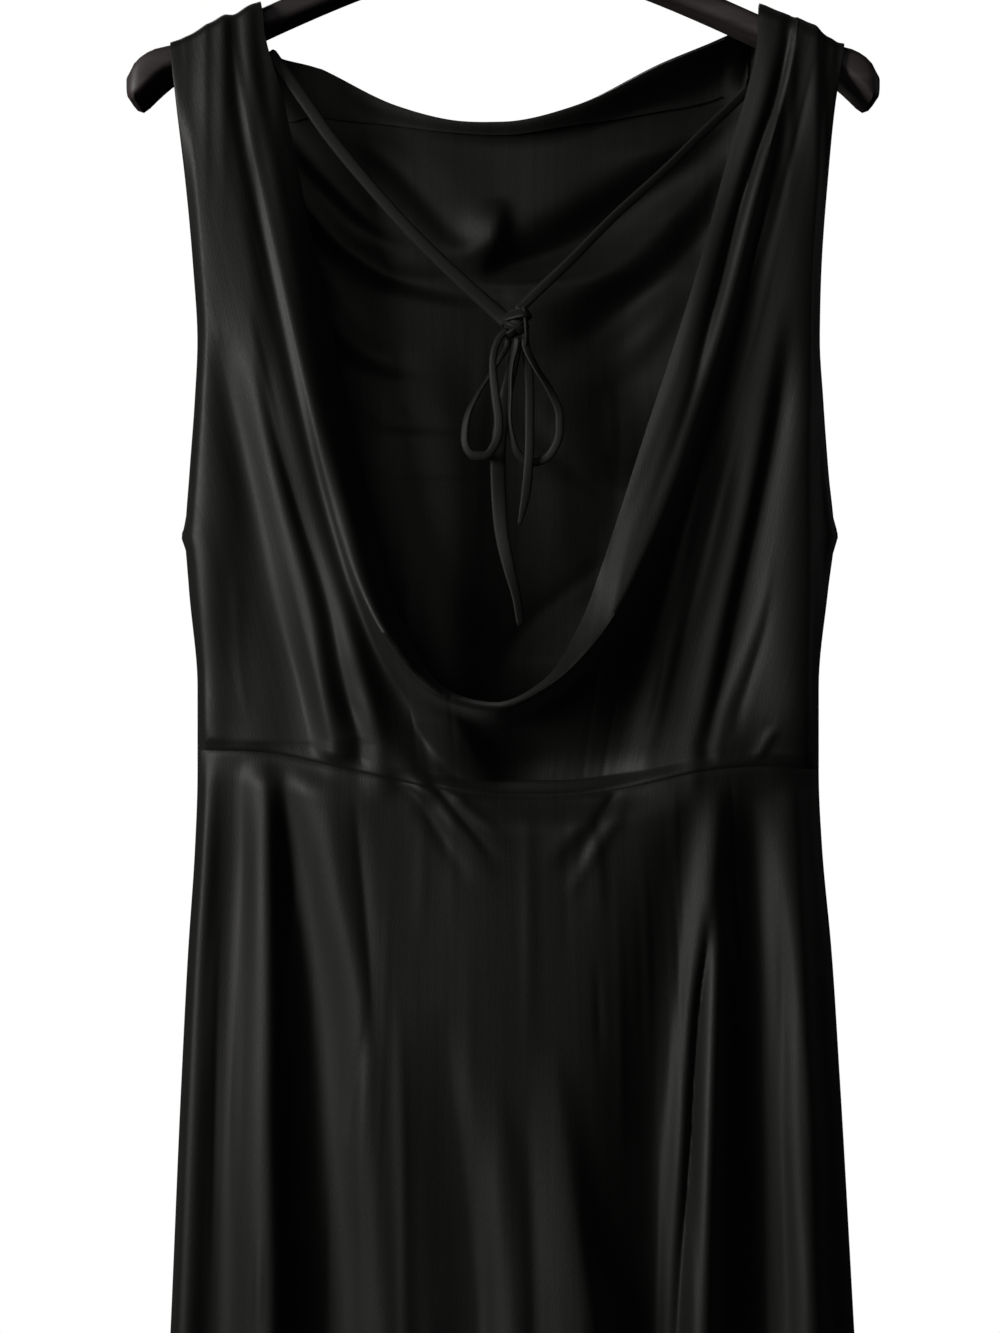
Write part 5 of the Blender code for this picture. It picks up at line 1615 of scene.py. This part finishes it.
# %% Make the jersey
def make_jersey(name, roughness):
    """Fine knit: ribs along the cloth, slow uneven silk, and a trace of fuzz."""
    material, shader, wire = new_material(name)
    place = wire.node("ShaderNodeUVMap", {"uv_map": "flow"})
    ribs = wire.noise(place, (1500, 260, 1), detail=1.0)
    streak = wire.noise(place, (150, 7, 1), detail=3.0, roughness=0.55)
    patch = wire.noise(place, (26, 14, 1))
    fuzz = wire.noise(place, (900, 900, 1), roughness=0.6)
    tone = streak * 0.5 + patch * 0.3 + fuzz * 0.2
    colour = wire.mixed(tone, (0.0052, 0.0052, 0.0050), (0.0116, 0.0114, 0.0102))
    gloss = roughness + streak * 0.12 + patch * 0.10 + ribs * 0.08
    height = ribs * 0.35 + streak * 0.9 + fuzz * 0.15
    silk = {
        "IOR": 1.45, "Specular Tint": (1, 0.99, 0.94, 1), "Sheen Weight": 0.12,
        "Sheen Roughness": 0.45, "Sheen Tint": (0.8, 0.79, 0.76, 1),
    }
    relief = {"strength": 0.35, "reach": 0.0006}
    return finished(material, shader, colour, gloss, height, **relief, constants=silk)


jersey = make_jersey("black_jersey", 0.38)
# The ties have been handled and knotted, so their jersey is duller.
tie_jersey = make_jersey("black_tie_jersey", 0.46)
print("jersey nodes:", len(jersey.node_tree.nodes))

# %% [markdown]
# ## Stained wood and steel
# The hanger is stained nearly black and has a satin varnish, with the grain still showing as
# long darker lines. The wire is polished steel with faint drawing marks. Both read Object
# coordinates, which are the same as places on the object, since every finished piece has its
# object at the origin.

# %% Make the wood and the steel
def make_wood():
    """Grain lines along the arm, slow stain, and a thin satin coat."""
    material, shader, wire = new_material("dark_stained_wood")
    place = wire.object_place()
    warp = wire.noise(place, (6, 30, 30))
    grain = wire.noise(place, (14, 420, 420), detail=4.0, roughness=0.6)
    pores = wire.noise(place, (90, 1600, 1600), detail=1.0)
    stain = wire.noise(place, (12, 40, 40))
    rings = wire.maths("SINE", warp * 34 + stain * 6) * 0.5 + 0.5
    tone = rings * 0.35 + grain * 0.45 + stain * 0.2
    colour = wire.mixed(tone, (0.030, 0.0225, 0.022), (0.092, 0.071, 0.070))
    gloss = 0.42 + grain * 0.16 + pores * 0.1
    height = grain * 0.6 + pores * 0.5 + rings * 0.15
    coat = {"Coat Weight": 0.12, "Coat Roughness": 0.35}
    relief = {"strength": 0.3, "reach": 0.0003}
    return finished(material, shader, colour, gloss, height, **relief, constants=coat)


def make_steel():
    """Polished wire with faint drawing marks."""
    material, shader, wire = new_material("hook_steel")
    place = wire.object_place()
    marks = wire.noise(place, (900, 900, 60))
    haze = wire.noise(place, (60, 60, 60))
    colour = wire.mixed(haze, (0.52, 0.52, 0.53), (0.66, 0.65, 0.64))
    gloss = 0.14 + marks * 0.14 + haze * 0.08
    metal = {"Metallic": 1.0}
    relief = {"strength": 0.15, "reach": 0.0001}
    return finished(material, shader, colour, gloss, marks, **relief, constants=metal)


wood = make_wood()
steel = make_steel()
print("wood nodes:", len(wood.node_tree.nodes), "steel nodes:", len(steel.node_tree.nodes))

# %% Give each piece its finish
finishes = {
    jersey: (back, front, facing, back_skirt, front_skirt, *stitches.values()),
    tie_jersey: (*ties.values(), knot, knot_core),
    wood: (arms,),
    steel: (hook,),
}
for material, pieces in finishes.items():
    for piece in pieces:
        piece.data.materials.clear()
        piece.data.materials.append(material)
print("materials:", ", ".join(material.name for material in finishes))

# %% [markdown]
# ## Floor and light
# A pale floor lies below the hem. One large soft light stands far to the left of the camera and
# above it, so slopes that face left shine and slopes that face right go black. A wide weak light
# in front opens the inside of the dress, and two more keep the far sides readable. The room is
# white to look at but gives almost no light, as black cloth would mirror it along every edge.

# %% Lay the floor
FLOOR_DROP, FLOOR_SIZE = 1750.0, 4800.0
deselect()
bpy.ops.mesh.primitive_plane_add(size=FLOOR_SIZE * MM, location=(0, 0, -FLOOR_DROP * MM))
floor = bpy.context.active_object
floor.name = "floor"
floor_material, floor_shader, floor_wire = new_material("pale_floor")
floor_tone = floor_wire.noise(floor_wire.object_place(), (3, 3, 3), detail=3.0)
floor_colour = floor_wire.mixed(floor_tone, (0.78, 0.78, 0.77), (0.84, 0.84, 0.83))
floor_material.node_tree.links.new(floor_colour.socket, floor_shader.inputs["Base Color"])
floor_shader.inputs["Roughness"].default_value = 0.7
floor.data.materials.append(floor_material)
# Black cloth would mirror the lit floor, so the floor is only shown to the camera.
floor.visible_diffuse = False
floor.visible_glossy = False
print("floor", FLOOR_DROP, "mm below the origin")

# %% Set up the lights
LIGHTS = (
    # name, place, size, power
    ("key", (-3000, -1900, 100), 1300, 70.0),
    ("fill", (-700, -3100, 100), 2400, 6.2),
    ("rear", (-900, 3000, 1500), 2000, 50.0),
    ("side", (3400, 500, 200), 1500, 2.2),
)
LIGHT_TARGET = Vector((0, 0, -600)) * MM
ROOM_LIGHT = 0.001
for name, place, size, power in LIGHTS:
    data = bpy.data.lights.new(name, "AREA")
    data.size = size * MM
    data.energy = power
    light = bpy.data.objects.new(name, data)
    light.location = Vector(place) * MM
    light.rotation_euler = (LIGHT_TARGET - light.location).to_track_quat("-Z", "Y").to_euler()
    bpy.context.scene.collection.objects.link(light)
world = bpy.data.worlds.new("white_room")
bpy.context.scene.world = world
world.use_nodes = True
room = Wire(world.node_tree)
seen = room.node("ShaderNodeLightPath", output=0)
background = world.node_tree.nodes["Background"]
background.inputs["Color"].default_value = (1, 1, 1, 1)
strength = ROOM_LIGHT + seen * (1 - ROOM_LIGHT)
world.node_tree.links.new(strength.socket, background.inputs["Strength"])
bpy.context.scene.view_settings.view_transform = "Standard"
print("lights:", ", ".join(light[0] for light in LIGHTS))

# %% [markdown]
# ## Hang each piece from the root
# Last, each piece is hung from one root, and the measured solid that it stands for is hidden. How
# each tie ends and how wide it is, and the size each panel was cut to, are written in tables.

# %% Tie each piece to the measured model
REPLACED = {
    back: ("back_bodice", "cloth"), front: ("front_bodice", "cloth"),
    facing: ("front_neck_facing", "cloth"), back_skirt: ("back_skirt", "cloth"),
    front_skirt: ("front_skirt", "cloth"), arms: ("hanger_arms", "hanger_wood"),
    hook: ("hanger_hook", "hook_steel"), knot: ("tie_knot", "tie"), knot_core: ("tie_knot", "tie"),
    **{ties[name]: (name, "tie") for name in TIE_ROUTES},
}
REPLACED.update({sewn: REPLACED[piece] for piece, sewn in stitches.items()})
for piece, (node, finish) in REPLACED.items():
    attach(piece, "root")
    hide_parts(node)
print("pieces:", len(REPLACED))

TIE_FACTS = {
    # where its far end goes, and its width in metres
    "tie_string_left": ("object", 0.007), "tie_string_right": ("object", 0.006),
    "tie_loop_left": ("object", 0.005), "tie_loop_right": ("object", 0.005),
    "tie_tail_left": ("bare", 0.0075), "tie_tail_right": ("bare", 0.0055),
}
for name, (far_end, width) in TIE_FACTS.items():
    line = tie_lines[name] * MM
print("declared", len(TIE_FACTS), "ties")

SHEETS = (
    # piece, width and length of the cut, what it hangs from, its area
    (back, (0.40, 0.50), "hanger_arms", 0.125),
    (front, (0.42, 0.47), "hanger_arms", 0.165),
    (facing, (0.32, 0.04), "front_bodice", 0.0063),
    (back_skirt, (0.62, 1.03), "back_bodice", 0.54),
    (front_skirt, (0.60, 1.03), "front_bodice", 0.53),
)
for piece, flat, held_by, area in SHEETS:
    sewn = [stitches[piece]] if piece in stitches else []
print("declared", len(SHEETS), "sheets")

# %% Finish
bpy.context.view_layer.update()
